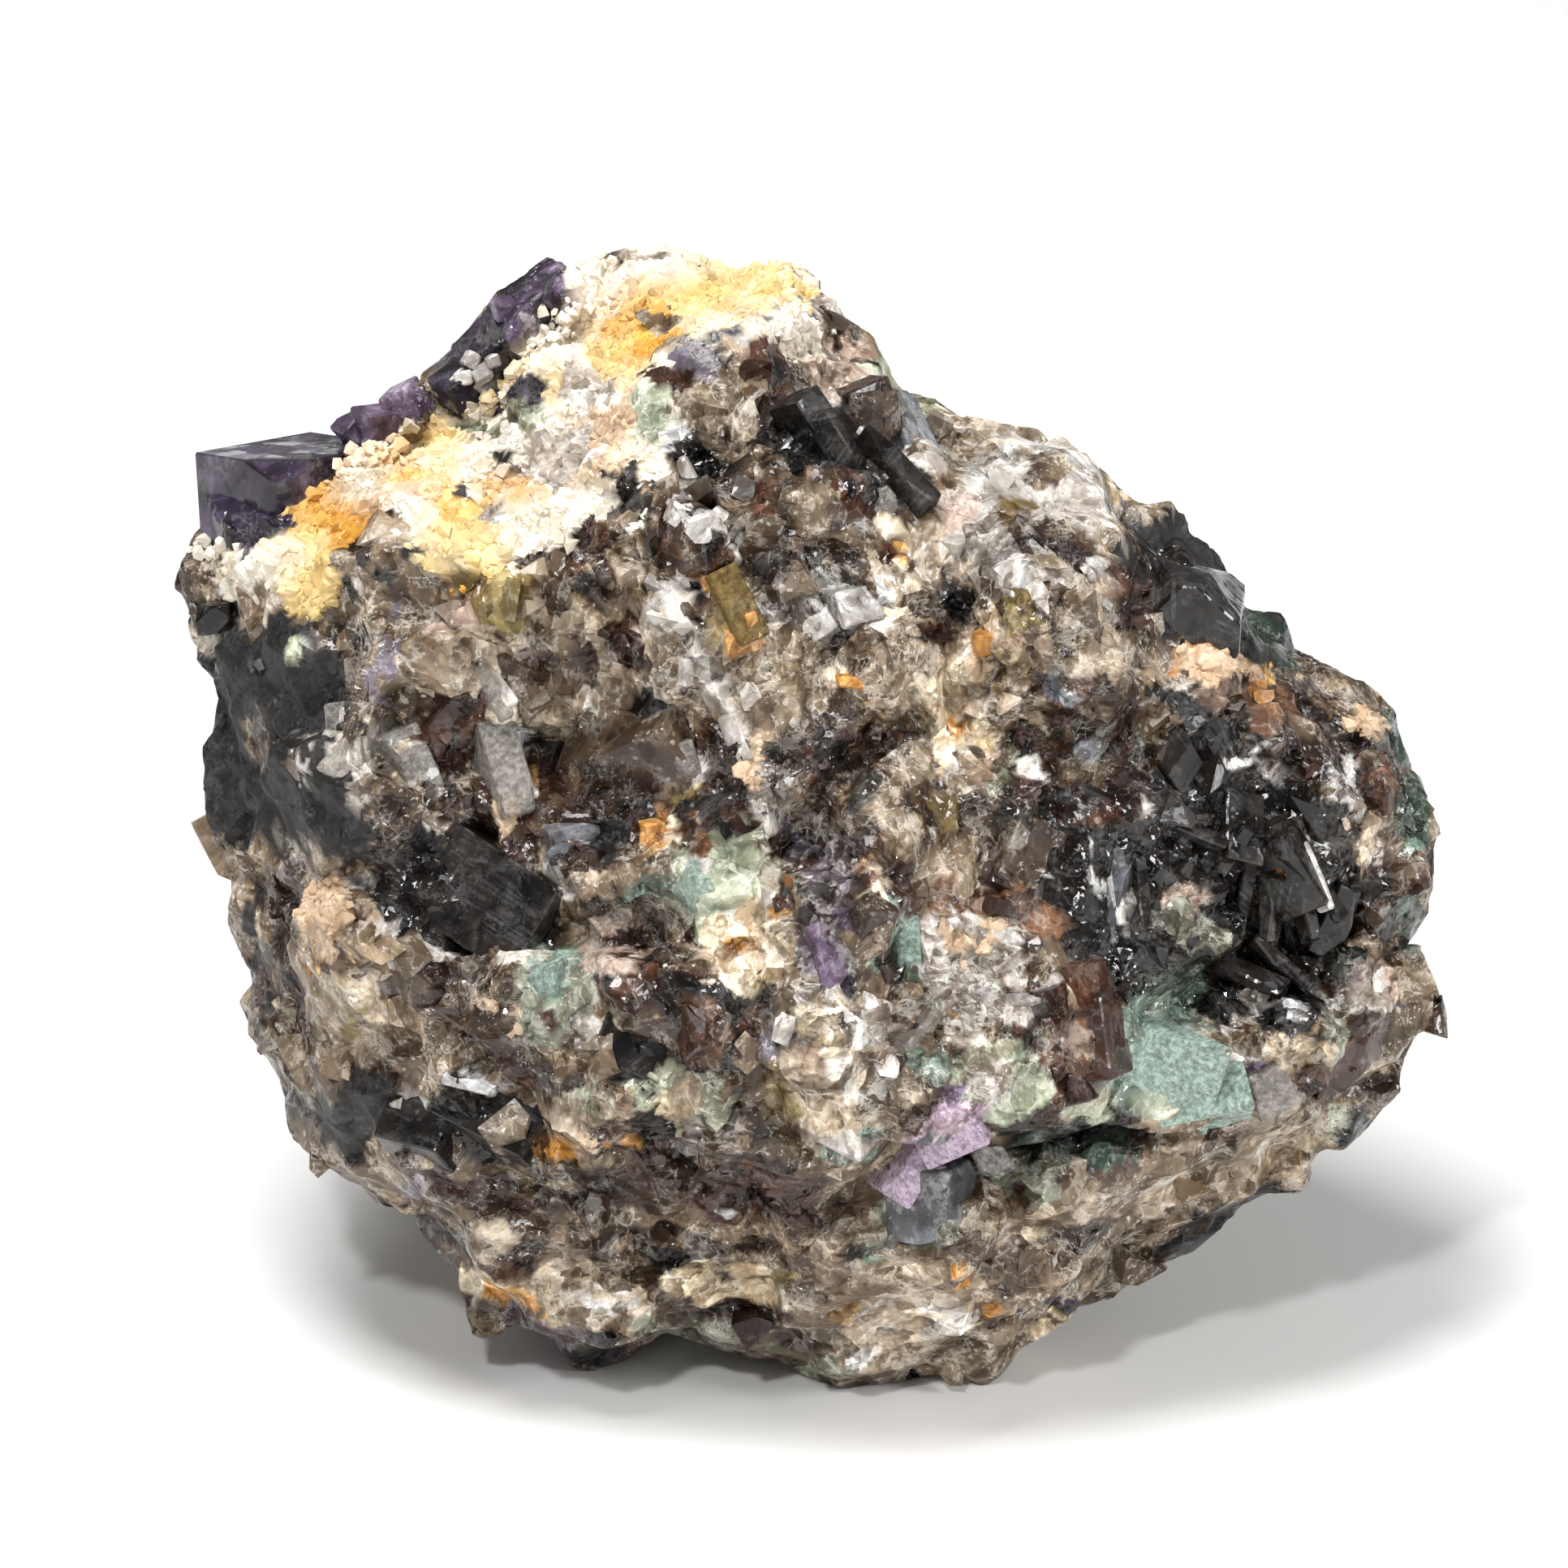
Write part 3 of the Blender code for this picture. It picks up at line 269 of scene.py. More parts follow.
CENTRE = [
    ("milky", -6.4, 9.4, 0.7, 2.4, 32), ("milky", -3.2, 1.4, 0.7, 2.8, 4),
    ("white", -2.9, -2.6, 0.5, 2.4, -10), ("milky", -5.8, 7.2, 0.6, 1.7, 38),
    ("beige", -4.2, 5.0, 0.7, 1.4, 20), ("white", -6.0, 7.0, 0.35, 1.0, 38),
    ("peach", -3.5, 2.8, 0.5, 1.7, 10), ("milky", -7.2, 8.6, 0.7, 0.8, 0),
    ("amber", 2.5, 7.7, 1.3, 0.4, -6), ("cream", 1.4, 7.9, 0.5, 0.4, 0), ("amber", -9.4, -1.6, 0.8, 1.3, 0),
    ("cream", -8.8, -2.6, 0.6, 0.5, 0), ("rust", -7.4, -1.5, 0.9, 0.9, 0),
    ("cream", -9.0, 0.2, 0.2, 0.9, 30), ("green", -9.4, -5.4, 1.1, 0.8, 0),
    ("milky", -6.6, -3.0, 0.9, 0.7, 0), ("green", -6.6, -5.4, 1.6, 0.7, -30),
    ("milky", -4.2, -6.2, 1.2, 0.6, 60), ("peach", -3.8, -7.4, 0.8, 1.2, 0),
    ("amber", -4.6, -8.8, 0.6, 0.4, 20), ("cream", -2.6, -6.4, 0.7, 1.6, 0),
    ("amber", -2.0, -5.0, 0.25, 0.8, 0), ("lilac", -1.5, -1.4, 0.7, 1.1, 0),
    ("dusky", 1.0, -3.6, 1.9, 2.4, 0), ("dusky", 0.6, -7.6, 1.8, 2.4, 0), ("lilac", 0.0, -5.6, 0.9, 0.6, 0),
    ("lilac", 2.4, -9.4, 1.0, 0.9, 0), ("purple", 2.2, -7.2, 0.8, 1.0, 0),
    ("violet", 2.8, -10.6, 0.9, 0.5, -20), ("smoky_dark", 2.4, 2.4, 2.2, 2.2, 0),
    ("black", 0.8, 3.6, 0.9, 1.2, 0), ("black", 3.6, 1.0, 0.8, 1.3, 0), ("ochre", 3.4, -2.4, 0.5, 0.8, 0),
    ("rust", 3.5, -4.0, 0.6, 0.9, 0), ("cream", 4.0, -4.8, 0.4, 0.4, 0), ("green", 5.4, -7.6, 0.8, 1.9, 10),
    ("green", 4.8, -9.4, 0.7, 0.8, 0), ("pale_green", 6.4, -11.2, 1.2, 0.6, -10),
    ("dark_green", 2.8, -11.6, 1.3, 0.5, -20), ("rust", 6.5, -8.5, 0.6, 0.5, 0),
    ("peach", 9.4, -8.0, 1.2, 0.7, 0), ("ochre", 11.0, -9.0, 0.4, 0.4, 0),
    ("rust", 11.3, -10.6, 0.5, 0.4, 0), ("ochre", 6.5, -12.5, 0.5, 0.4, 0),
    ("ochre", 8.7, -12.5, 0.6, 0.5, 0), ("white", 9.2, -13.4, 1.4, 0.6, 0),
    ("rust", 6.0, -15.0, 0.5, 0.5, 0), ("milky", 5.0, -13.6, 1.2, 1.0, 0),
    ("cream", 1.5, -14.0, 0.6, 0.5, 0), ("amber", 1.0, -17.0, 0.5, 0.4, 0),
    ("cream", 0.4, -13.2, 1.6, 0.8, 0), ("white", 1.6, -16.0, 1.0, 1.4, 0),
    ("milky", 3.6, -17.2, 1.0, 0.9, 0), ("cream", 3.6, -11.8, 0.8, 0.4, -10),
    ("green", 2.6, -20.0, 1.6, 0.6, 14), ("green", 7.0, -15.6, 1.0, 1.0, 0),
    ("peach", 11.0, -6.6, 0.8, 0.5, 0), ("smoky", 14.4, -9.2, 1.2, 1.4, 10),
]
LOWER = [
    ("brown", 16.6, -13.4, 1.5, 1.7, -10), ("rust", 15.9, -14.3, 0.7, 1.2, 0),
    ("brown", 16.0, -16.4, 1.4, 1.0, 10), ("green", 21.5, -13.9, 3.4, 2.4, -8),
    ("green", 18.8, -15.6, 1.5, 1.7, 0), ("pale_green", 21.4, -15.2, 1.7, 0.7, -6),
    ("pale_green", 19.0, -18.2, 4.0, 1.1, 12), ("milky", 20.4, -16.0, 0.6, 0.4, 0),
    ("pale_green", 17.4, -17.6, 0.6, 0.5, 0), ("dark_green", 22.2, -11.2, 2.2, 0.5, -10),
    ("violet", 24.0, -17.4, 0.9, 0.5, 14), ("lilac", 26.4, -16.6, 1.6, 1.2, 30),
    ("milky", 25.6, -15.8, 1.2, 0.8, 40), ("purple", 28.0, -15.2, 0.5, 0.4, 0),
    ("green", 12.4, -15.0, 1.4, 0.8, 0), ("milky", 10.4, -16.2, 1.0, 1.0, 0),
    ("purple", 8.8, -17.2, 0.8, 0.7, 0), ("pink", 8.4, -19.3, 2.0, 1.2, 24),
    ("pink", 5.8, -21.8, 0.9, 2.0, -30), ("lilac", 7.4, -20.4, 0.8, 0.5, 0),
    ("blue_grey", 8.0, -22.8, 1.5, 2.2, 0), ("grey_green", 6.4, -25.2, 2.4, 1.6, 0),
    ("milky", 5.0, -24.0, 0.8, 0.7, 0), ("green", 3.6, -27.0, 0.9, 0.7, 0),
    ("black", 15.8, -19.6, 4.6, 0.6, 12), ("grey_green", 12.2, -21.8, 1.2, 1.0, 0),
    ("grey_green", 14.6, -22.8, 1.2, 0.9, 20), ("beige", 21.5, -23.6, 1.6, 1.0, 30),
    ("smoky_dark", 12.0, -28.0, 2.0, 1.8, 0), ("brown", 2.0, -27.2, 0.9, 0.9, 0),
    ("ochre", 2.0, -31.0, 1.0, 0.6, 10), ("amber", 11.0, -30.2, 0.6, 0.4, 20),
    ("amber", 8.5, -28.4, 0.4, 0.4, 0), ("beige", 34.4, -15.8, 0.9, 0.5, 20),
    ("brown", 31.0, -16.6, 1.6, 0.8, 30), ("grey_brown", 28.6, -18.2, 1.6, 0.8, 30),
    ("black", 33.6, -19.0, 1.6, 0.6, 30), ("violet", 15.6, -30.6, 1.2, 0.4, 30),
    ("black", 25.6, -25.4, 4.6, 0.9, 32), ("cream", 15.4, -31.6, 1.8, 0.6, 30),
    ("pale_green", 31.8, -19.2, 0.6, 0.5, 0), ("smoky_dark", 17.0, -26.0, 1.6, 1.0, 20),
    ("beige", 12.6, -25.2, 1.2, 0.6, 20), ("smoky_dark", 25.0, -20.6, 1.6, 0.7, 26),
    ("beige", 28.4, -20.8, 1.3, 0.5, 30), ("beige", 17.6, -24.0, 1.0, 0.5, 20),
    ("green", -15.8, -10.4, 1.0, 1.9, 10), ("brown", -16.5, -13.3, 0.6, 0.5, 0),
    ("milky", -13.6, -13.4, 1.5, 0.9, 0), ("charcoal", -11.6, -15.0, 1.8, 2.0, 0),
    ("black", -11.2, -14.4, 1.0, 1.0, 0), ("amber", -9.5, -12.5, 0.5, 0.5, 0),
    ("rust", -6.8, -13.2, 1.8, 1.8, 10), ("brown", -6.4, -12.6, 1.0, 1.2, 0),
    ("cream", -6.0, -15.8, 0.9, 0.4, 0), ("cream", -8.4, -18.0, 1.6, 1.2, 0),
    ("olive", -2.4, -18.0, 1.4, 1.9, 0), ("lilac", -2.5, -14.5, 0.9, 0.5, 0),
    ("smoky_dark", -3.2, -12.6, 1.4, 1.2, 0), ("black", -20.4, -18.8, 3.6, 2.6, -30),
    ("painted_silver_glint", -20.6, -16.4, 1.7, 0.4, -14), ("milky", -24.2, -18.4, 1.0, 2.0, 10),
    ("beige", -14.0, -18.2, 1.6, 2.2, 0), ("pale_green", -13.6, -17.4, 0.9, 1.0, 0),
    ("amber", -15.5, -20.9, 1.0, 0.6, 0), ("peach", -13.4, -20.6, 0.9, 0.6, 0),
    ("amber", -11.6, -20.8, 0.25, 1.0, 30), ("rust", -11.5, -18.6, 0.9, 0.7, 0),
    ("black", -9.8, -20.0, 1.6, 1.0, -20), ("milky", -7.3, -19.8, 0.7, 0.5, 0),
    ("lilac", -25.0, -23.4, 0.7, 0.5, 0), ("smoky_dark", -24.0, -21.8, 1.6, 0.8, -20),
    ("beige", -20.0, -26.4, 1.6, 1.0, 0), ("peach", -24.8, -25.6, 0.5, 1.2, 20),
    ("smoky_dark", -17.0, -24.4, 1.9, 1.2, 0), ("amber", -18.9, -29.9, 2.6, 0.55, -14),
    ("cream", -20.6, -29.0, 0.9, 0.5, 0), ("beige", -15.6, -28.4, 1.6, 0.8, 0),
    ("brown", -4.0, -23.6, 3.4, 2.0, 0), ("painted_silver_glint", -8.0, -22.5, 0.6, 0.35, 0),
    ("painted_silver_glint", -6.0, -24.7, 0.5, 0.3, 0), ("cream", -5.4, -29.2, 4.2, 1.0, -12),
    ("brown", -5.0, -30.8, 3.8, 0.6, -10), ("black", -8.4, -27.2, 2.0, 0.7, 0),
    ("grey_green", -7.5, -32.0, 5.6, 0.8, -8), ("dusky", -15.0, -32.6, 4.2, 0.9, -16),
    ("black", -13.2, -33.0, 1.8, 0.8, 0), ("pale_green", 0.8, -34.2, 1.4, 0.7, 0),
    ("beige", -12.4, -29.8, 1.6, 0.7, 0), ("olive", -1.4, -28.6, 1.0, 0.8, 0),
]
VIOLET_HEAD = [
    ("violet", -34.4, 18.8, 4.0, 2.8, 4), ("charcoal", -33.0, 22.4, 4.6, 1.3, 10),
    ("purple", -26.6, 23.8, 1.3, 1.3, 0), ("purple", -25.0, 25.4, 1.3, 1.3, 0),
    ("violet", -20.2, 27.8, 3.0, 3.0, 45), ("violet", -17.2, 31.0, 2.4, 3.0, -40),
    ("painted_silver_glint", -20.6, 27.0, 1.4, 0.7, 10), ("purple", -15.8, 32.6, 1.0, 1.2, 0),
    ("lilac", -17.4, 29.6, 0.9, 0.6, 0), ("yellow", -30.2, 17.6, 1.4, 1.6, 0),
    ("orange", -29.4, 18.4, 0.9, 3.0, -24), ("yellow", -31.2, 16.2, 1.3, 1.0, 0),
    ("crust", -27.4, 20.6, 1.4, 1.2, 0),
]
PATCHES = GROUND + CREST + UPPER + RIGHT + LEFT + CENTRE + LOWER + VIOLET_HEAD


def linear(code):
    """An sRGB hex colour as linear red, green and blue."""
    parts = [int(code[i:i + 2], 16) / 255 for i in (0, 2, 4)]
    return tuple(p / 12.92 if p <= 0.04045 else ((p + 0.055) / 1.055) ** 2.4 for p in parts)


def in_frame(points):
    """Points (u, v, w) of the leaned face, in millimetres, as metres in the frame."""
    u, v, w = np.asarray(points, float).reshape(-1, 3).T
    sine, cosine = math.sin(LEAN), math.cos(LEAN)
    return (np.column_stack((u, v * sine - w * cosine, v * cosine + w * sine)) + FACE_MIDDLE) * MM


def on_face(points):
    """Points of the frame, in metres, as (u, v, w) of the leaned face in millimetres."""
    x, y, z = (np.asarray(points, float).reshape(-1, 3) / MM - FACE_MIDDLE).T
    sine, cosine = math.sin(LEAN), math.cos(LEAN)
    return np.column_stack((x, y * sine + z * cosine, z * sine - y * cosine))


# Whole numbers that scramble a cell's place into its draws
CELL_PRIMES = (73856093, 19349663, 83492791)
SALT_PRIME, SALT_START, SCRAMBLE = 40503, 977, 1274126177
WORD, LOW_BITS = 0xffffffff, 0xffffff


def lottery(cells, salt):
    """Three steady numbers from 0 to 1 for each whole-numbered cell."""
    c = np.asarray(cells).astype(np.int64)
    mixed = salt * SALT_PRIME + SALT_START
    for axis, prime in enumerate(CELL_PRIMES):
        mixed = mixed ^ (c[..., axis] * prime)
    drawn = []
    for _ in range(3):
        mixed = (mixed ^ (mixed >> 13)) * SCRAMBLE & WORD
        mixed = mixed ^ (mixed >> 16)
        drawn.append((mixed & LOW_BITS) / LOW_BITS)
    return np.stack(drawn, -1)


CELLS_ROUND = [(x, y, z) for x in (-1, 0, 1) for y in (-1, 0, 1) for z in (-1, 0, 1)]
FAR = 1e9


def break_into_grains(points, size, salt, tilt=0.5, side=0.9):
    """Interlocked grains of that size in mm: the height of their tilted faces, the centre of the grain that
    shows, that grain's own three draws, and how far below it the next grain lies."""
    scaled = points / size
    base = np.floor(scaled)
    best = np.full(len(points), -FAR)
    second = best.copy()
    nearest = np.full(len(points), FAR)
    centre = np.zeros_like(points)
    for step in CELLS_ROUND:
        cell = base + step
        middle = cell + lottery(cell, salt)
        lean = lottery(cell, salt + 31) * 2 - 1
        away = scaled - middle
        gap = (away ** 2).sum(1)
        height = (away * lean).sum(1) * tilt - gap * side
        won = height > best
        second = np.where(won, best, np.maximum(second, height))
        best = np.where(won, height, best)
        centre[won] = middle[won]
        nearest = np.minimum(nearest, gap)
    own = lottery(np.floor(centre), salt + 67)
    return (best + nearest * side) * size, centre * size, own, (best - second) * size


def drift(points, size, salt):
    """Smooth noise from -1 to 1 with features of that size in mm."""
    scaled = points / size
    base = np.floor(scaled)
    part = scaled - base
    part = part * part * (3 - 2 * part)
    total = np.zeros((len(points), 3))
    for x in (0, 1):
        for y in (0, 1):
            for z in (0, 1):
                share = np.ones(len(points))
                for axis, side in enumerate((x, y, z)):
                    share = share * (part[:, axis] if side else 1 - part[:, axis])
                total += share[:, None] * (lottery(base + (x, y, z), salt) * 2 - 1)
    return total


MINERAL_NAMES = list(MINERALS)
HOST = MINERAL_NAMES.index("smoky")
TRAITS = np.array([MINERALS[name][1:] for name in MINERAL_NAMES])
GLOSS, FACETS, HAZE_AND_GLINT, STRIPES, RELIEF, CRUMB = range(6)
# The traits that the stone's material reads from the mesh
READ_TRAITS = {"gloss": GLOSS, "facets": FACETS, "haze_and_glint": HAZE_AND_GLINT, "stripes": STRIPES, "crumb": CRUMB}
SUGARY = 0.7
# Edges of the minerals follow fine grains and larger ones, and wander smoothly, all in mm
FINE_MM, BLOB_MM, DRIFT_MM = 0.75, 2.2, 1.8
OWN_SHARE, FINE_SHARE, BLOB_SHARE = 0.35, 0.35, 0.3
EDGE_WANDER, GRAIN_WANDER = 0.5, 1.1
# Behind the rim they wander farther the deeper they lie
RIM_W, DEEPEST, SIDE_DEEP = -5.0, 40, 8
BACK_DRIFT_MM, BACK_WANDER = 11.0, 0.55
SIDE_DRIFT_MM, SIDE_WANDER = 4.0, 0.35
LOWEST_W, HIGHEST_W = -10, 30


def minerals_at(points):
    """Which mineral lies at each point (u, v, w), read through the fine grain that the point belongs to."""
    _, centre, _, _ = break_into_grains(points, FINE_MM, 5)
    _, blob, pick, _ = break_into_grains(points, BLOB_MM, 6)
    place = points * OWN_SHARE + centre * FINE_SHARE + blob * BLOB_SHARE
    place = place + drift(points, DRIFT_MM, 11) * EDGE_WANDER + (pick - 0.5) * GRAIN_WANDER
    behind = np.clip(RIM_W - place[:, 2], 0, DEEPEST)[:, None]
    wander = drift(points, BACK_DRIFT_MM, 21) * behind * BACK_WANDER
    wander = wander + drift(points, SIDE_DRIFT_MM, 22) * np.minimum(behind, SIDE_DEEP) * SIDE_WANDER
    place = place + wander
    near = EYE_W / (EYE_W - np.clip(place[:, 2], LOWEST_W, HIGHEST_W))
    u = EYE_U + (place[:, 0] - EYE_U) * near
    v = EYE_V + (place[:, 1] - EYE_V) * near
    found = np.full(len(points), HOST)
    for name, cu, cv, ru, rv, turn in PATCHES:
        reach = max(ru, rv)
        close = np.flatnonzero((np.abs(u - cu) < reach) & (np.abs(v - cv) < reach))
        a = math.radians(turn)
        du, dv = u[close] - cu, v[close] - cv
        along = (du * math.cos(a) + dv * math.sin(a)) / ru
        across = (dv * math.cos(a) - du * math.sin(a)) / rv
        inside = along ** 2 + across ** 2 < 1
        found[close[inside]] = MINERAL_NAMES.index(name)
    return stray(points, found)


# How far the ground strays up and down the ladder: by patches, by grains and by fine grains
STRAY_GRAIN_MM, STRAY_FINE_MM = 3.0, 1.2
PATCH_MM, SMALL_PATCH_MM, PATCH_CONTRAST = 5.5, 2.6, 1.3
PATCH_STRAY, GRAIN_STRAY, FINE_STRAY = 0.85, 1.2, 0.9
DARKER, LIGHTER = 1.35, 0.85
FREE_RUNGS = slice(2, 6)


def stray(points, found):
    """Lets the ground minerals give way to darker and lighter ones, by patches and by single grains."""
    ladder = np.array([MINERAL_NAMES.index(name) for name in LADDER])
    rung_of = np.full(len(MINERAL_NAMES), -1)
    rung_of[ladder] = np.arange(len(ladder))
    rung = rung_of[found]
    points = bedded(points)
    _, _, pick, _ = break_into_grains(points, STRAY_GRAIN_MM, 8)
    _, _, fine, _ = break_into_grains(points, STRAY_FINE_MM, 9)
    patch = drift(points, PATCH_MM, 23)[:, 0] * PATCH_CONTRAST
    patch = patch + drift(points, SMALL_PATCH_MM, 24)[:, 0] * PATCH_CONTRAST
    step = patch * PATCH_STRAY + (pick[:, 0] - 0.5) * GRAIN_STRAY + (fine[:, 0] - 0.5) * FINE_STRAY
    step = np.where(step < 0, step * DARKER, step * LIGHTER)
    free = np.isin(found, ladder[FREE_RUNGS])
    moved = np.clip(np.round(rung + step), 0, len(ladder) - 1).astype(int)
    return np.where(free, ladder[moved], found)


# The ledge starts at a place (u, v), rises to the right, and the beds below it lean one way on each side
LEDGE_U, LEDGE_V, LEDGE_RISE, LEDGE_LENGTH = 6, -21.5, 0.31, 40
BEDS_MEET_U, RIGHT_BED, LEFT_BED = 2, 22.0, -12.0
ALONG_BED, ACROSS_BED, INTO_BED = 0.30, 1.1, 0.7


def below_ledge(points):
    """Which points (u, v, w) lie below the ledge that crosses the foot of the broken face."""
    return points[:, 1] < LEDGE_V + np.clip(points[:, 0] - LEDGE_U, 0, LEDGE_LENGTH) * LEDGE_RISE


def bedded(points):
    """The same points, drawn together along the bedding below the ledge, where grains are long streaks."""
    lean = np.radians(np.where(points[:, 0] > BEDS_MEET_U, RIGHT_BED, LEFT_BED))
    along = points[:, 0] * np.cos(lean) + points[:, 1] * np.sin(lean)
    across = points[:, 1] * np.cos(lean) - points[:, 0] * np.sin(lean)
    streaks = np.column_stack((along * ALONG_BED, across * ACROSS_BED, points[:, 2] * INTO_BED))
    return np.where(below_ledge(points)[:, None], streaks, points)


COLOUR_MM = 2.4
COLOUR_SHARE, FINE_COLOUR_SHARE = 0.6, 0.4
UNDER_ONE = 0.999
DIMMEST, TONE_SPREAD = 0.80, 0.36


def colour_grains(points, mineral, salt):
    """A colour for each point: its mineral's colours dealt out grain by grain, with finer grains inside."""
    points = bedded(points)
    _, _, pick, _ = break_into_grains(points, COLOUR_MM, salt)
    _, _, fine, _ = break_into_grains(points, FINE_MM, salt + 3)
    colours = np.zeros((len(points), 3))
    for index, name in enumerate(MINERAL_NAMES):
        mine = np.flatnonzero(mineral == index)
        palette = np.array([linear(code) for code in MINERALS[name][0]])
        first = palette[(pick[mine, 0] * len(palette) * UNDER_ONE).astype(int)]
        other = palette[(fine[mine, 0] * len(palette) * UNDER_ONE).astype(int)]
        colours[mine] = first * COLOUR_SHARE + other * FINE_COLOUR_SHARE
    return colours * (DIMMEST + TONE_SPREAD * fine[:, 1:2]) * (DIMMEST + TONE_SPREAD * pick[:, 1:2])


SOAK_MM = 0.8
SOAK_WAYS = ((1, 0), (0.3, 0.95), (-0.8, 0.6), (-0.8, -0.6), (0.3, -0.95))


def soaked_colours(points, mineral, colours, salt):
    """The crest's stain soaks from grain to grain: a point takes the mean of the sugary grains round it."""
    total, share = colours.copy(), np.ones(len(points))
    for along, up in SOAK_WAYS:
        moved = points + np.array((along, up, 0)) * SOAK_MM
        other = minerals_at(moved)
        sugary = TRAITS[other, CRUMB] > SUGARY
        total[sugary] += colour_grains(moved[sugary], other[sugary], salt)
        share += sugary
    return total / share[:, None]


def set_values(mesh, name, values):
    """Stores one number or one colour for each point of the mesh."""
    values = np.asarray(values, float)
    if values.ndim == 2:
        layer = mesh.color_attributes.new(name, "FLOAT_COLOR", "POINT")
        values = np.column_stack((values, np.ones(len(values))))
        layer.data.foreach_set("color", values.ravel())
    else:
        layer = mesh.attributes.new(name, "FLOAT", "POINT")
        layer.data.foreach_set("value", values)


# Fibres: the middle and the spread of their lean in degrees, in most of the rock, at the right and the left
FIBRE_MM = 3.4
FIBRE_LEANS = ((-55, 80), (15, 120), (62, 16))
FIBRES_RIGHT_U, FIBRES_LEFT_U, FIBRES_LEFT_V = 10, -14, 1
FIBRE_DEPTH = 0.3


def stripe_places(points):
    """How far across the fibres each point lies, in mm: the fibres fan out from grain to grain."""
    _, _, draw, _ = break_into_grains(points, FIBRE_MM, 41)
    most, right, left = (np.radians(lean + spread * (draw[:, 0] - 0.5)) for lean, spread in FIBRE_LEANS)
    lean = np.where(points[:, 0] > FIBRES_RIGHT_U, right, most)
    lean = np.where((points[:, 0] < FIBRES_LEFT_U) & (points[:, 1] < FIBRES_LEFT_V), left, lean)
    flat = points[:, 0] * np.cos(lean) + points[:, 1] * np.sin(lean)
    return flat + points[:, 2] * FIBRE_DEPTH * (draw[:, 1] - 0.5)


def dress_points(mesh, points, mineral, salt, light=None):
    """Gives a mesh the attributes that the stone's material reads. Where a painted shade is given as light,
    the colours are multiplied by it, so hollows between grains are painted darker.
    """
    colours = colour_grains(points, mineral, salt)
    sugary = np.flatnonzero(TRAITS[mineral, CRUMB] > SUGARY)
    colours[sugary] = soaked_colours(points[sugary], mineral[sugary], colours[sugary], salt)
    set_values(mesh, "stone_colour", colours if light is None else colours * light[:, None])
    for name, trait in READ_TRAITS.items():
        set_values(mesh, name, TRAITS[mineral, trait])
    set_values(mesh, "across", stripe_places(points))


def change_trait(piece, name, value):
    """Sets one trait to the same number all over a piece."""
    layer = piece.data.attributes[name]
    layer.data.foreach_set("value", np.full(len(layer.data), value, np.float32))


# Shapes of the stone

def deselect():
    if bpy.context.object and bpy.context.object.mode != "OBJECT":
        bpy.ops.object.mode_set(mode="OBJECT")
    bpy.ops.object.select_all(action="DESELECT")


def make_active(piece):
    deselect()
    piece.select_set(True)
    bpy.context.view_layer.objects.active = piece


def apply_modifier(piece, kind, **settings):
    made = piece.modifiers.new(kind.title(), kind)
    for name, value in settings.items():
        setattr(made, name, value)
    make_active(piece)
    bpy.ops.object.modifier_apply(modifier=made.name)


def points_of(mesh):
    flat = np.zeros(len(mesh.vertices) * 3, np.float32)
    mesh.vertices.foreach_get("co", flat)
    return flat.reshape(-1, 3).astype(float)


def move_points(mesh, points):
    mesh.vertices.foreach_set("co", points.astype(np.float32).ravel())
    mesh.update()


def normals_of(mesh):
    flat = np.zeros(len(mesh.vertices) * 3, np.float32)
    mesh.vertex_normals.foreach_get("vector", flat)
    return flat.reshape(-1, 3).astype(float)


def facing_front(piece):
    """How far each point's normal looks out of the broken face, from -1 to 1."""
    return normals_of(piece.data) @ (in_frame([(0, 0, 1)]) - in_frame([(0, 0, 0)]))[0] / MM


def triangles_in(mesh):
    return sum(len(face.vertices) - 2 for face in mesh.polygons)


def keep_in_cad_box(points, inset=0.02 * MM):
    return np.clip(points, np.array(CAD_LOW) + inset, np.array(CAD_HIGH) - inset)


def split_off(place, normal):
    """Splits off what lies beyond a plane, in edit mode, and closes the break."""
    bpy.ops.mesh.select_all(action="SELECT")
    bpy.ops.mesh.bisect(plane_co=place, plane_no=normal, use_fill=True, clear_outer=True)


def finish_stone(piece):
    """Gives a piece the stone's material and seats it on the specimen."""
    piece.data.materials.clear()
    piece.data.materials.append(bpy.data.materials.get(STONE) or granular_stone())
    ride_as_stone(piece)


def ride_as_stone(piece):
    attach(piece, BODY)


# The skin behind FRONT_W, or turned away by more than BACK_FACING, may be thinned, to THINNED of its faces
FRONT_W, BACK_FACING, THINNED = -6.0, -0.1, 0.92
STONE_TRIANGLES = 196000


def thin_back(piece, budget):
    """Thins the side that faces away from the broken face until the whole piece is within its budget."""
    face = on_face(points_of(piece.data))
    back = np.flatnonzero((facing_front(piece) < BACK_FACING) | (face[:, 2] < FRONT_W))
    total = triangles_in(piece.data)
    if total <= budget:
        return
    group = piece.vertex_groups.new(name="back")
    group.add(back.tolist(), 1.0, "REPLACE")
    # the ratio counts the whole mesh, while only the group's part can give way
    ratio = max(budget / total, 1 - len(back) / len(face) * THINNED)
    apply_modifier(piece, "DECIMATE", ratio=ratio, vertex_group="back", use_collapse_triangulate=True)
    piece.vertex_groups.clear()
    if triangles_in(piece.data) > budget:
        ratio = budget / triangles_in(piece.data)
        apply_modifier(piece, "DECIMATE", ratio=ratio, use_collapse_triangulate=True)


# The salt and the tilt of the coarse, middle and fine grains, how steep their sides are, and their relief
GRAIN_TILTS = ((101, 0.55), (102, 0.7), (103, 0.8))
GRAIN_SIDE = 2.6
COARSE_RELIEF, MIDDLE_RELIEF, FINE_RELIEF = 0.34, 0.20, 0.30
# The crust has small rounded bumps instead
BUMP_MM, BUMP_TILT, BUMP_SIDE, BUMP_RELIEF, SUGAR_SMOOTHS = 1.1, 0.15, 1.6, 0.6, 0.6
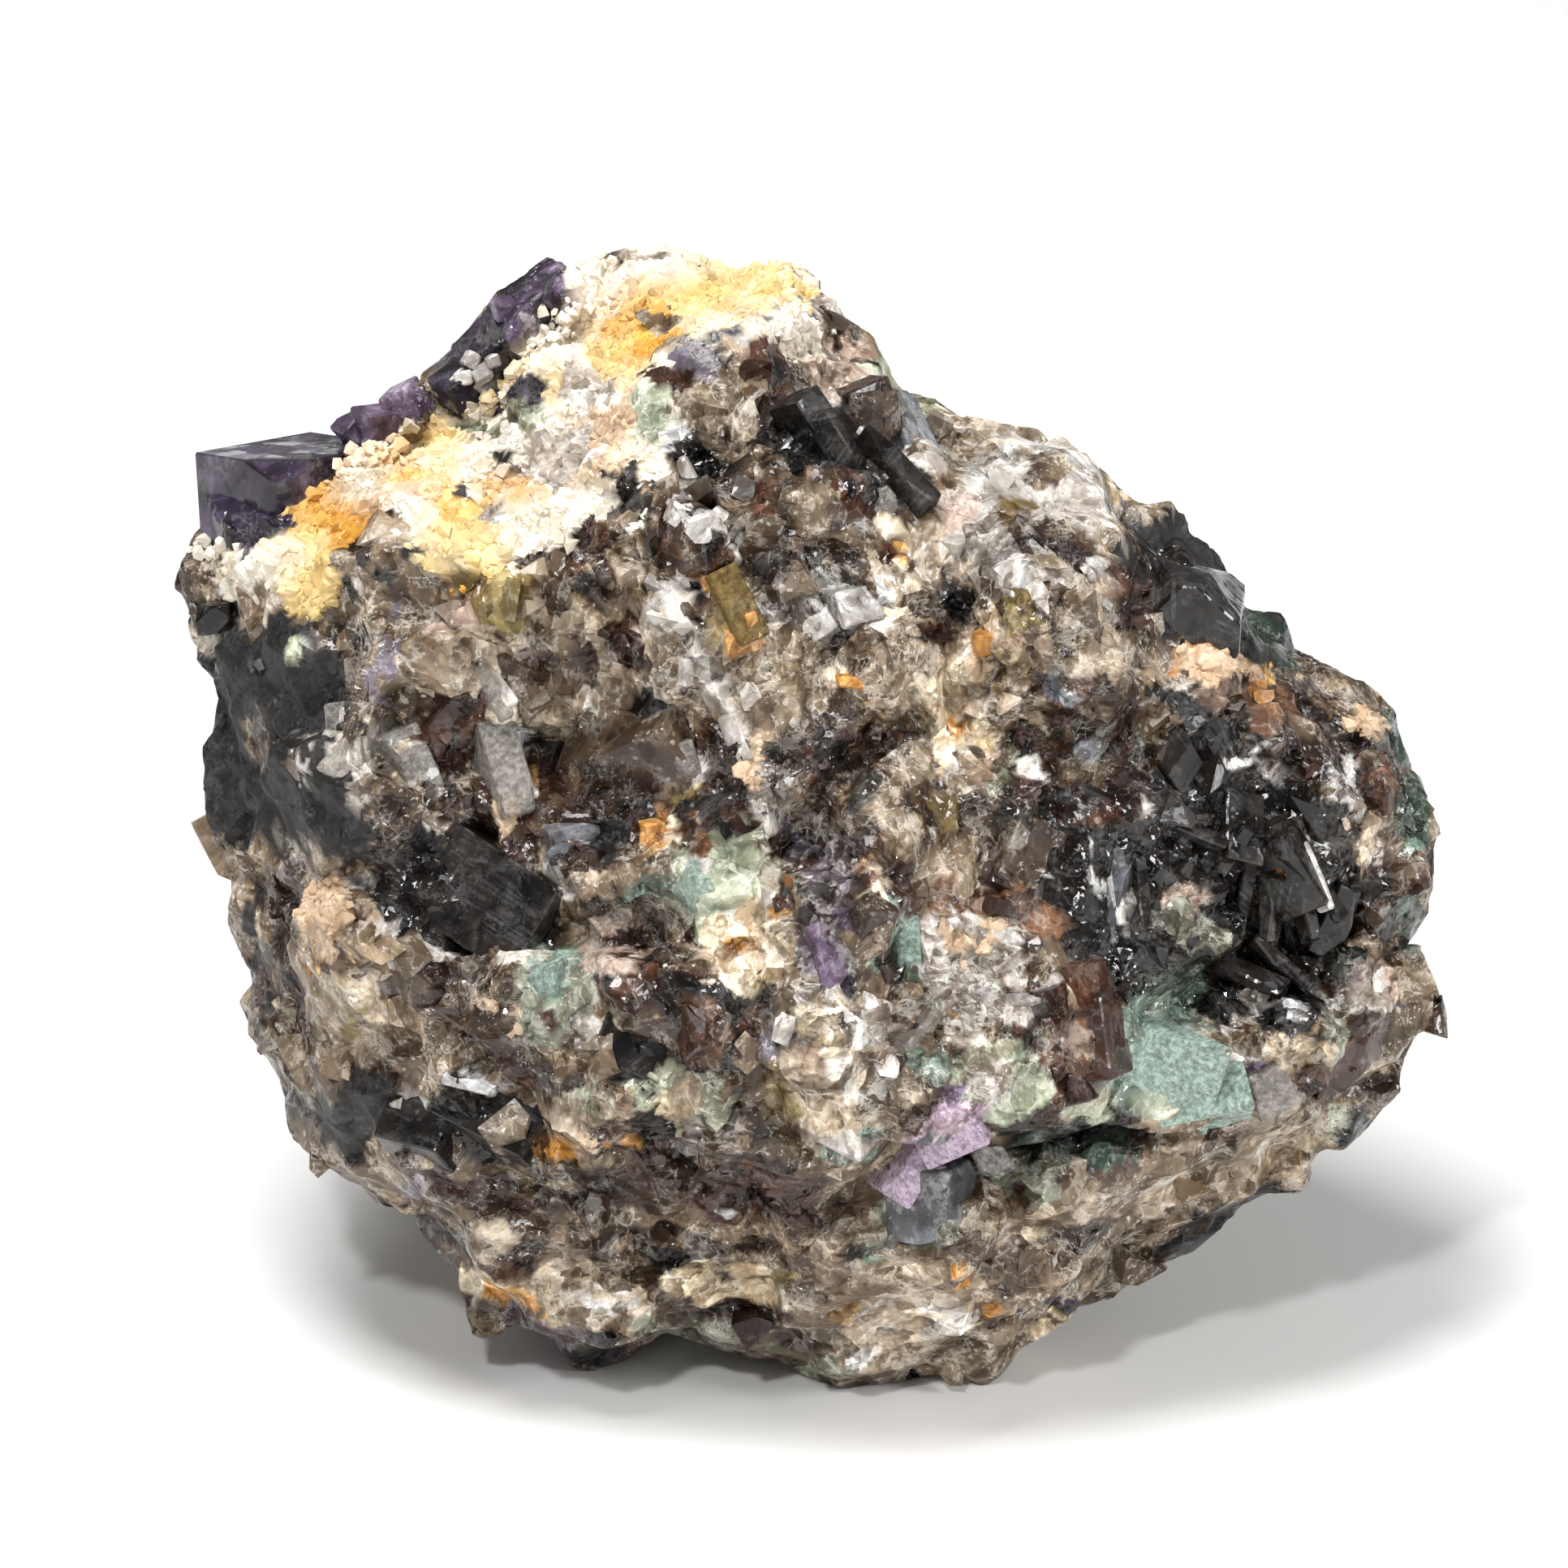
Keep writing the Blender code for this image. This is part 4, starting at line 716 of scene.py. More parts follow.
# The relief is lower toward the rim and fades out above the flat foot. Painted shade: hollows are painted
# darker and tops lighter by their height
RIM_FADE, RIM_RELIEF, REST_MM = 1.5, 0.45, 1.5
LEVEL_LIGHT, HEIGHT_LIGHT, DARKEST_PAINTED_HOLLOW, LIGHTEST_PAINTED_TOP = 0.94, 0.75, 0.34, 1.2


def shape_rock(settings):
    """The whole lump: a fine copy of the solid, broken into interlocked grains."""
    deselect()
    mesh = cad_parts[CAD_NODE].data.copy()
    rock = bpy.data.objects.new("broken_rock", mesh)
    bpy.context.scene.collection.objects.link(rock)
    make_active(rock)
    bpy.ops.object.mode_set(mode="EDIT")
    bpy.ops.mesh.select_all(action="SELECT")
    bpy.ops.mesh.remove_doubles(threshold=1e-6)
    bpy.ops.object.mode_set(mode="OBJECT")
    fineness = settings.fineness * 1.0
    apply_modifier(rock, "REMESH", mode="VOXEL", voxel_size=fineness)
    thin_back(rock, STONE_TRIANGLES)
    mesh = rock.data
    points = points_of(mesh)
    face = on_face(points)
    mineral = minerals_at(face)
    relief, crumb = TRAITS[mineral, RELIEF], TRAITS[mineral, CRUMB]
    laid = bedded(face)
    sizes = (settings.coarse_grain, settings.middle_grain, settings.fine_grain)
    coarse, middle, fine = (break_into_grains(laid, size / MM, salt, tilt, GRAIN_SIDE)[0]
                            for size, (salt, tilt) in zip(sizes, GRAIN_TILTS))
    bumps = break_into_grains(face, BUMP_MM, 104, BUMP_TILT, BUMP_SIDE)[0]
    height = coarse * COARSE_RELIEF + middle * MIDDLE_RELIEF * relief + fine * FINE_RELIEF * relief
    rim = np.clip(facing_front(rock) * RIM_FADE, RIM_RELIEF, 1.0)
    height = height * rim * (1 - SUGAR_SMOOTHS * crumb) + bumps * BUMP_RELIEF * crumb
    rest = np.clip((points[:, 2] - CAD_LOW[2]) / (REST_MM * MM), 0, 1)
    moved = keep_in_cad_box(points + normals_of(mesh) * (height * rest)[:, None] * MM, 0.0)
    move_points(mesh, moved)
    # painted shade: the colour is darker in the hollows and lighter on the tops, by the height of the relief
    light = np.clip(LEVEL_LIGHT + height * HEIGHT_LIGHT, DARKEST_PAINTED_HOLLOW, LIGHTEST_PAINTED_TOP)
    dress_points(mesh, on_face(moved), mineral, 301, light)
    return rock


# Materials

STONE = "smoky quartz and fluorite, freshly broken"
STONE_IOR, FLUORITE_IOR = 1.46, 1.434
HALF = (0.5, 0.5, 0.5)
MM_IN_METRE = (1000, 1000, 1000)
# Patterns are counted in mm: clouds of haze, whole crystals, the grains in them, their painted glints and the
# fibres
CLOUD_SCALE, CRYSTAL_SCALE, GRAIN_SCALE, GLINT_SCALE, FIBRE_SCALE = 0.42, 0.17, 0.42, 4.2, 3.2
COARSEST, FINEST = 0.36, 1.15
SLIVER_STRETCH, LINE_STRETCH = (1.9, 0.5, 1.05), (4.6, 1.3, 3.4)
HAZE_AND_GLINT_COLOUR, FIBRE_COLOUR, SHADOW_WARMTH = "e2dcd2", "75767b", (1.0, 0.74, 0.55, 1)


def add(tree, kind, inputs=(), **settings):
    """One node with its settings and links. Inputs come in order or by socket, and each one is a value, an
    output, or a node, which stands for its first output."""
    made = tree.nodes.new("ShaderNode" + kind)
    for name, value in settings.items():
        setattr(made, name, value)
    for socket, value in (inputs.items() if isinstance(inputs, dict) else enumerate(inputs)):
        if isinstance(value, bpy.types.Node):
            value = value.outputs[0]
        if isinstance(value, bpy.types.NodeSocket):
            tree.links.new(value, made.inputs[socket])
        else:
            made.inputs[socket].default_value = value
    return made


def start_material(name):
    material = bpy.data.materials.new(name)
    material.use_nodes = True
    material.node_tree.nodes.clear()
    return material, material.node_tree


def millimetres(tree):
    """Object coordinates counted in millimetres."""
    place = add(tree, "TexCoord").outputs["Object"]
    return add(tree, "VectorMath", (place, MM_IN_METRE), operation="MULTIPLY")


def granular_stone():
    """Granular smoky quartz and fluorite on a fresh break: every grain shows glassy fracture faces that catch
    the light one by one, hazy inside along the grain's own cleavage, with fibres on the dark cleavages."""
    material, tree = start_material(STONE)
    mm = millimetres(tree)
    colour = add(tree, "Attribute", attribute_name="stone_colour")
    trait = {name: add(tree, "Attribute", attribute_name=name).outputs["Fac"]
             for name in (*READ_TRAITS, "across")}
    cloud = add(tree, "TexNoise", {"Vector": mm, "Scale": CLOUD_SCALE, "Detail": 5.0, "Roughness": 0.72})
    sway = add(tree, "VectorMath", (cloud.outputs["Color"], HALF), operation="SUBTRACT")
    bent = add(tree, "VectorMath", (sway, (1.2, 1.2, 1.2), mm), operation="MULTIPLY_ADD")

    # the grain is coarser in one crystal and finer in the next, and each crystal breaks in its own direction
    crystal = add(tree, "TexVoronoi", {"Vector": bent, "Scale": CRYSTAL_SCALE})
    block = add(tree, "SeparateColor", (crystal.outputs["Color"],))
    fineness = add(tree, "MapRange", (block, 0, 1, COARSEST, FINEST))
    bent = add(tree, "VectorMath", {0: bent, 3: fineness}, operation="SCALE")
    grain = add(tree, "TexVoronoi", {"Vector": bent, "Scale": GRAIN_SCALE})
    pick = add(tree, "SeparateColor", (grain.outputs["Color"],))
    axis = add(tree, "VectorMath", (grain.outputs["Color"], HALF), operation="SUBTRACT")

    # inside every grain the slivers and the fine lines run along that grain's own cleavage
    angle = add(tree, "Math", (pick, 12.0), operation="MULTIPLY")
    turned = add(tree, "VectorRotate", {"Vector": bent, "Axis": axis, "Angle": angle})
    laid = add(tree, "VectorMath", (turned, SLIVER_STRETCH), operation="MULTIPLY")
    sliver = add(tree, "TexVoronoi", {"Vector": laid, "Scale": 1.0})
    part = add(tree, "SeparateColor", (sliver.outputs["Color"],))
    skew = add(tree, "VectorMath", (sliver.outputs["Color"], HALF), operation="SUBTRACT")
    drawn = add(tree, "VectorMath", (turned, LINE_STRETCH), operation="MULTIPLY")
    lines = add(tree, "TexNoise", {"Vector": drawn, "Scale": 1.0, "Detail": 3.0, "Roughness": 0.78})

    # painted light: each clear sliver's colour is lighter on one side and darker on the other, as if light
    # fell off through it
    falls = []
    for here, cells, way, strength in ((bent, grain, axis, 0.5), (laid, sliver, skew, 1.5)):
        inward = add(tree, "VectorMath", (here, cells.outputs["Position"]), operation="SUBTRACT")
        fall = add(tree, "VectorMath", (inward, way), operation="DOT_PRODUCT").outputs["Value"]
        falls.append(add(tree, "Math", (fall, strength), operation="MULTIPLY"))
    slope = add(tree, "Math", falls, operation="ADD")
    painted_falloff = add(tree, "Math", (add(tree, "Math", (slope, 1.0), operation="ADD"), 0.4), operation="MAXIMUM")

    # how light each crystal, grain and sliver is, with clouds and fine lines: from, to, darkest, lightest
    tones = [add(tree, "MapRange", row) for row in (
        (pick.outputs[1], 0, 1, 0.72, 1.22), (part, 0, 1, 0.62, 1.32), (block.outputs[1], 0, 1, 0.72, 1.24),
        (cloud, 0.36, 0.64, 0.55, 1.42), (lines, 0.34, 0.66, 0.66, 1.34))]
    shade = tones[0]
    for tone in (*tones[1:3], painted_falloff, *tones[3:]):
        shade = add(tree, "Math", (shade, tone), operation="MULTIPLY")
    calm = add(tree, "MapRange", (block.outputs[2], 0.45, 0.85, 0.0, 0.6))
    sugary = add(tree, "Math", (trait["crumb"], 0.85), operation="MULTIPLY")
    soft = add(tree, "Math", (sugary, calm), operation="MAXIMUM")
    firm = add(tree, "Math", (1.0, soft), operation="SUBTRACT")
    shade = add(tree, "Math", (add(tree, "Math", (shade, firm), operation="MULTIPLY"), soft), operation="ADD")
    lit = add(tree, "Clamp", (shade,))
    warm = add(tree, "Mix", {0: lit, 6: SHADOW_WARMTH, 7: (1, 1, 1, 1)}, data_type="RGBA").outputs[2]
    body = add(tree, "VectorMath", (colour, warm), operation="MULTIPLY")
    body = add(tree, "VectorMath", {0: body, 3: shade}, operation="SCALE")

    # whitish haze with torn edges, bright broken rims that are partly painted highlight, and tiny painted
    # glints
    torn = cloud
    for value, strength in ((lines, 0.55), (part.outputs[1], 0.10)):
        off = add(tree, "Math", (value, 0.5), operation="SUBTRACT")
        off = add(tree, "Math", (off, strength), operation="MULTIPLY")
        torn = add(tree, "Math", (torn, off), operation="ADD")
    haze = add(tree, "MapRange", (torn, 0.55, 0.63, 0.0, 0.46))
    # bright rims along the sliver edges: whitish crushed edges, partly a painted edge highlight
    edges = add(tree, "TexVoronoi", {"Vector": laid, "Scale": 1.0}, feature="DISTANCE_TO_EDGE")
    rim_and_highlight = add(tree, "MapRange", (edges.outputs["Distance"], 0.0, 0.05, 1.0, 0.0))
    cloudy = add(tree, "MapRange", (cloud, 0.46, 0.54, 0.0, 1.0))
    rim_and_highlight = add(tree, "Math", (rim_and_highlight, cloudy), operation="MULTIPLY")
    rim_and_highlight = add(tree, "Math", (rim_and_highlight, trait["facets"]), operation="MULTIPLY")
    # painted highlight: a few tiny cells, most of them near the haze, are painted whitish as glints
    glint_cell = add(tree, "TexVoronoi", {"Vector": turned, "Scale": GLINT_SCALE})
    chance = add(tree, "SeparateColor", (glint_cell.outputs["Color"],))
    rare = add(tree, "MapRange", (chance, 0.86, 0.90, 0.0, 1.0))
    small = add(tree, "MapRange", (glint_cell.outputs["Distance"], 0.34, 0.24, 0.0, 1.0))
    spark = add(tree, "Math", (rare, small), operation="MULTIPLY")
    near_haze = add(tree, "MapRange", (cloud, 0.40, 0.56, 0.25, 1.0))
    spark = add(tree, "Math", (spark, near_haze), operation="MULTIPLY")
    # the haze is real cloudiness, the rims are partly and the sparks wholly painted highlight; all are mixed
    # toward the haze colour
    haze_and_glint = add(tree, "Math", (haze, rim_and_highlight), operation="MAXIMUM")
    haze_and_glint = add(tree, "Math", (haze_and_glint, spark), operation="MAXIMUM")
    haze_and_glint = add(tree, "Math", (haze_and_glint, trait["haze_and_glint"]), operation="MULTIPLY", use_clamp=True)
    body = add(tree, "Mix", {0: haze_and_glint, 6: body, 7: (*linear(HAZE_AND_GLINT_COLOUR), 1)}, data_type="RGBA").outputs[2]

    # fibres on the cleavages
    count = add(tree, "Math", (trait["across"], FIBRE_SCALE), operation="MULTIPLY")
    fibre = add(tree, "TexNoise", {"W": count, "Scale": 1.0, "Detail": 2.0, "Roughness": 0.7},
                noise_dimensions="1D")
    fibre = add(tree, "MapRange", (fibre, 0.46, 0.66, 0.0, 1.0))
    fibre = add(tree, "Math", (fibre, trait["stripes"]), operation="MULTIPLY")
    shown = add(tree, "MapRange", (cloud, 0.46, 0.62, 0.0, 0.38))
    bright = add(tree, "Math", (fibre, shown), operation="MULTIPLY")
    body = add(tree, "Mix", {0: bright, 6: body, 7: (*linear(FIBRE_COLOUR), 1)}, data_type="RGBA").outputs[2]

    # fracture faces: each grain and each sliver is tilted its own way, and its fine lines ripple it
    ripple = add(tree, "VectorMath", (lines.outputs["Color"], HALF), operation="SUBTRACT")
    rippled = add(tree, "MapRange", (trait["stripes"], 0, 1, 1.1, 0.5))
    own = add(tree, "VectorMath", (crystal.outputs["Color"], HALF), operation="SUBTRACT")
    tilts = [add(tree, "VectorMath", {0: way, 3: strength}, operation="SCALE")
             for way, strength in ((axis, 0.5), (skew, 0.8), (ripple, rippled), (own, 0.7))]
    lean = tilts[0]
    for tilt in tilts[1:]:
        lean = add(tree, "VectorMath", (lean, tilt), operation="ADD")
    lean = add(tree, "VectorMath", {0: lean, 3: trait["facets"]}, operation="SCALE")
    normal = add(tree, "NewGeometry").outputs["Normal"]
    facing = add(tree, "VectorMath", (normal, lean), operation="ADD")
    facing = add(tree, "VectorMath", (facing,), operation="NORMALIZE")
    sheen = add(tree, "MapRange", (part.outputs[2], 0.1, 0.7, 0.78, 1.12))
    sheen = add(tree, "Math", (trait["gloss"], sheen), operation="MULTIPLY")
    dull = add(tree, "Math", (1.0, sheen), operation="SUBTRACT")
    rough = add(tree, "Math", (dull, 0.10), operation="MAXIMUM")
    surface = add(tree, "BsdfPrincipled", {
        "Base Color": body, "Roughness": rough, "IOR": STONE_IOR, "Normal": facing})
    add(tree, "OutputMaterial", {"Surface": surface})
    return material


def clear_crystal(name, tint, depth_mm, body, pale, haze):
    """Clear crystal: light passes through and the tint deepens with thickness. Healed cracks and slivers
    in it are hazy and whitish."""
    material, tree = start_material(name)
    mm = millimetres(tree)
    turned = add(tree, "VectorRotate", {"Vector": mm, "Axis": (0.3, 0.5, 0.8), "Angle": 0.7})
    laid = add(tree, "VectorMath", (turned, (1.9, 0.6, 1.3)), operation="MULTIPLY")
    sliver = add(tree, "TexVoronoi", {"Vector": laid, "Scale": 1.0})
    lines = add(tree, "TexNoise", {"Vector": laid, "Scale": 2.2, "Detail": 4.0, "Roughness": 0.7})
    part = add(tree, "SeparateColor", (sliver.outputs["Color"],))
    milk = add(tree, "Math", (part, 0.12, lines), operation="MULTIPLY_ADD")
    milk = add(tree, "MapRange", (milk, 0.42, 0.70, haze * 0.7, haze * 1.5))
    skew = add(tree, "VectorMath", (sliver.outputs["Color"], HALF), operation="SUBTRACT")
    skew = add(tree, "VectorMath", {0: skew, 3: 0.12}, operation="SCALE")
    normal = add(tree, "NewGeometry").outputs["Normal"]
    facing = add(tree, "VectorMath", (normal, skew), operation="ADD")
    facing = add(tree, "VectorMath", (facing,), operation="NORMALIZE")
    clear = add(tree, "BsdfPrincipled", {
        "Base Color": (1, 1, 1, 1), "Roughness": 0.06, "IOR": FLUORITE_IOR, "Transmission Weight": 1.0,
        "Normal": facing})
    share = add(tree, "MapRange", (lines, 0.26, 0.80, 0.0, 1.0))
    bright = add(tree, "Mix", {0: share, 6: (*linear(body), 1), 7: (*linear(pale), 1)},
                 data_type="RGBA").outputs[2]
    white = add(tree, "BsdfPrincipled", {
        "Base Color": bright, "Roughness": 0.25, "IOR": FLUORITE_IOR, "Normal": facing})
    both = add(tree, "MixShader", (milk, clear, white))
    inside = add(tree, "VolumeAbsorption", {"Color": (*linear(tint), 1), "Density": 1000.0 / depth_mm})
    add(tree, "OutputMaterial", {"Surface": both, "Volume": inside})
    return material


# Grains and crystals

CHIP_KINDS = 8
CHIP_REACH = (0.26, 0.46)


def take_shape(piece):
    """The points and faces of a finished grain, whose own object is then removed."""
    mesh = piece.data
    shape = points_of(mesh), [tuple(face.vertices) for face in mesh.polygons]
    bpy.data.objects.remove(piece)
    bpy.data.meshes.remove(mesh)
    return shape


def split_chip(seed, cuts=6):
    """One broken grain, about 1 across: a block with corners split off along cleavage planes."""
    draw = np.random.default_rng(seed)
    deselect()
    bpy.ops.mesh.primitive_cube_add(size=1.0)
    chip = bpy.context.object
    bpy.ops.object.mode_set(mode="EDIT")
    for _ in range(cuts):
        normal = draw.normal(size=3)
        normal /= np.linalg.norm(normal)
        split_off(normal * draw.uniform(*CHIP_REACH), normal)
    bpy.ops.mesh.select_all(action="SELECT")
    bpy.ops.mesh.normals_make_consistent(inside=False)
    bpy.ops.object.mode_set(mode="OBJECT")
    return take_shape(chip)


def turns(draw, count):
    """Random turns as matrices."""
    q = draw.normal(size=(count, 4))
    q /= np.linalg.norm(q, axis=1)[:, None]
    w, x, y, z = q.T
    return np.stack([
        np.stack([1 - 2 * (y * y + z * z), 2 * (x * y - z * w), 2 * (x * z + y * w)], -1),
        np.stack([2 * (x * y + z * w), 1 - 2 * (x * x + z * z), 2 * (y * z - x * w)], -1),
        np.stack([2 * (x * z - y * w), 2 * (y * z + x * w), 1 - 2 * (x * x + y * y)], -1)], 1)


def gather(name, shapes, draw, sizes, places):
    """One mesh of many turned copies, from each one's size along its own axes and its place, both in m."""
    kinds = draw.integers(0, len(shapes), len(places))
    turned = turns(draw, len(places))
    corners, faces, owner, first = [], [], [], 0
    for i, kind in enumerate(kinds):
        own_points, own_faces = shapes[kind]
        made = (own_points * sizes[i]) @ turned[i].T + places[i]
        corners.append(made)
        faces += [tuple(k + first for k in face) for face in own_faces]
        owner.append(np.full(len(made), i))
        first += len(made)
    corners = keep_in_cad_box(np.vstack(corners))
    mesh = bpy.data.meshes.new(name)
    mesh.from_pydata(corners.tolist(), [], faces)
    mesh.update()
    piece = bpy.data.objects.new(name, mesh)
    bpy.context.scene.collection.objects.link(piece)
    return piece, np.concatenate(owner)


def scatter_on(rock, count, draw, weight):
    """Picks places on the rock's skin, more where the weight is high, with the skin's normal there."""
    points, normals = points_of(rock.data), normals_of(rock.data)
    chosen = draw.choice(len(points), size=count, replace=False, p=weight / weight.sum())
    return chosen, points[chosen], normals[chosen]


def tone_by_grain(piece, owner, mineral, draw, tone):
    """Gives every copied grain one colour of its mineral, a little lighter or darker than the next one."""
    darkest, spread = tone
    count = len(mineral)
    dress_points(piece.data, on_face(points_of(piece.data)), mineral[owner], 501)
    flat = np.zeros(len(owner) * 4, np.float32)
    layer = piece.data.color_attributes["stone_colour"]
    layer.data.foreach_get("color", flat)
    middle = np.zeros((count, 4))
    np.add.at(middle, owner, flat.reshape(-1, 4))
    middle /= np.bincount(owner, minlength=count)[:, None]
    rgba = middle[owner] * (darkest + spread * draw.random(count) ** 1.3)[owner][:, None]
    rgba[:, 3] = 1
    layer.data.foreach_set("color", rgba.astype(np.float32).ravel())


# Grains sunk in the rock: smallest size and how much larger they get, in mm, how rare large ones are, how
# much smaller they are in the crust, and the ranges of width, thickness and depth in the rock, with the tone
CHIPS = (0.8, 1.9, 2.0, 0.5, (0.6, 1.1), (0.5, 1.0), (0.22, 0.36), (0.6, 0.95))
BLOCKS = (2.2, 3.0, 1.5, 0.0, (0.5, 0.9), (0.4, 0.75), (0.26, 0.36), (0.5, 0.9))


def sink_grains(name, rock, mineral, weight, count, draw, shapes, kind):
    """Sinks broken grains in the rock, in the colour of the mineral that they stand in."""
    smallest, more, rare, crumbled, width, thickness, depth, tone = kind
    chosen, places, normals = scatter_on(rock, count, draw, weight)
    crumb = TRAITS[mineral[chosen], CRUMB]
    size = (smallest + more * draw.random(count) ** rare) * (1 - crumbled * crumb)
    shape = np.column_stack((np.ones(count), draw.uniform(*width, count), draw.uniform(*thickness, count)))
    places = places - normals * (size * draw.uniform(*depth, count))[:, None] * MM
    piece, owner = gather(name, shapes, draw, shape * size[:, None] * MM, places)
    tone_by_grain(piece, owner, mineral[chosen], draw, tone)
    finish_stone(piece)
    return piece


# Where chips stand: less toward the back and the rim, below the ledge, on the left cube and on dark minerals,
# and none on the green slab at (u, v)
CHIPS_END_W, CHIPS_FADE_MM, CHIPS_BEHIND = -9, 6, 0.05
CHIPS_TURNED, CHIPS_TURN_FADE, CHIPS_ON_RIM = 0.42, 2.5, 0.02
SLAB_U, SLAB_V, SLAB_REACH = 21, -15, 5.5
CUBE_U, CUBE_V = -26, 13
CHIPS_BELOW_LEDGE, CHIPS_ON_DARK, CHIPS_ABOVE_FLOOR_MM = 0.3, 0.25, 3
SMOOTH_MINERALS = ("violet", "charcoal", "black", "purple")
BLOCK_COUNT, BLOCK_CUTS, BLOCK_FACETS, BLOCK_CRUMB = 150, 8, 0.35, 0.3


def spread_chips(settings):
    """Broken grains of every mineral, with larger smoky crystals in the ground between them."""
    rock = bpy.data.objects["broken_rock"]
    fewer = 1
    shapes = [split_chip(seed) for seed in range(CHIP_KINDS)]
    points = points_of(rock.data)
    face = on_face(points)
    mineral = minerals_at(face)
    weight = np.clip((face[:, 2] - CHIPS_END_W) / CHIPS_FADE_MM, CHIPS_BEHIND, 1.0)
    weight = weight * np.clip((facing_front(rock) - CHIPS_TURNED) * CHIPS_TURN_FADE, CHIPS_ON_RIM, 1.0)
    weight = weight * np.where(below_ledge(face), CHIPS_BELOW_LEDGE, 1.0)
    weight = weight * ((face[:, 0] > CUBE_U) | (face[:, 1] < CUBE_V))
    weight = weight * (np.hypot(face[:, 0] - SLAB_U, face[:, 1] - SLAB_V) > SLAB_REACH)
    smooth = np.isin(mineral, [MINERAL_NAMES.index(name) for name in SMOOTH_MINERALS])
    weight = weight * np.where(smooth, CHIPS_ON_DARK, 1.0)
    weight = weight * np.clip(points[:, 2] / (CHIPS_ABOVE_FLOOR_MM * MM), 0, 1)
    draw = np.random.default_rng(71)
    sink_grains("broken_grains", rock, mineral, weight, settings.chip_count // fewer, draw, shapes, CHIPS)

    draw = np.random.default_rng(83)
    shapes = [split_chip(300 + seed, BLOCK_CUTS) for seed in range(CHIP_KINDS)]
    weight = weight * np.isin(mineral, [MINERAL_NAMES.index(name) for name in LADDER])
    piece = sink_grains("smoky_grains", rock, mineral, weight, BLOCK_COUNT // fewer, draw, shapes, BLOCKS)
    change_trait(piece, "facets", BLOCK_FACETS)
    change_trait(piece, "crumb", BLOCK_CRUMB)


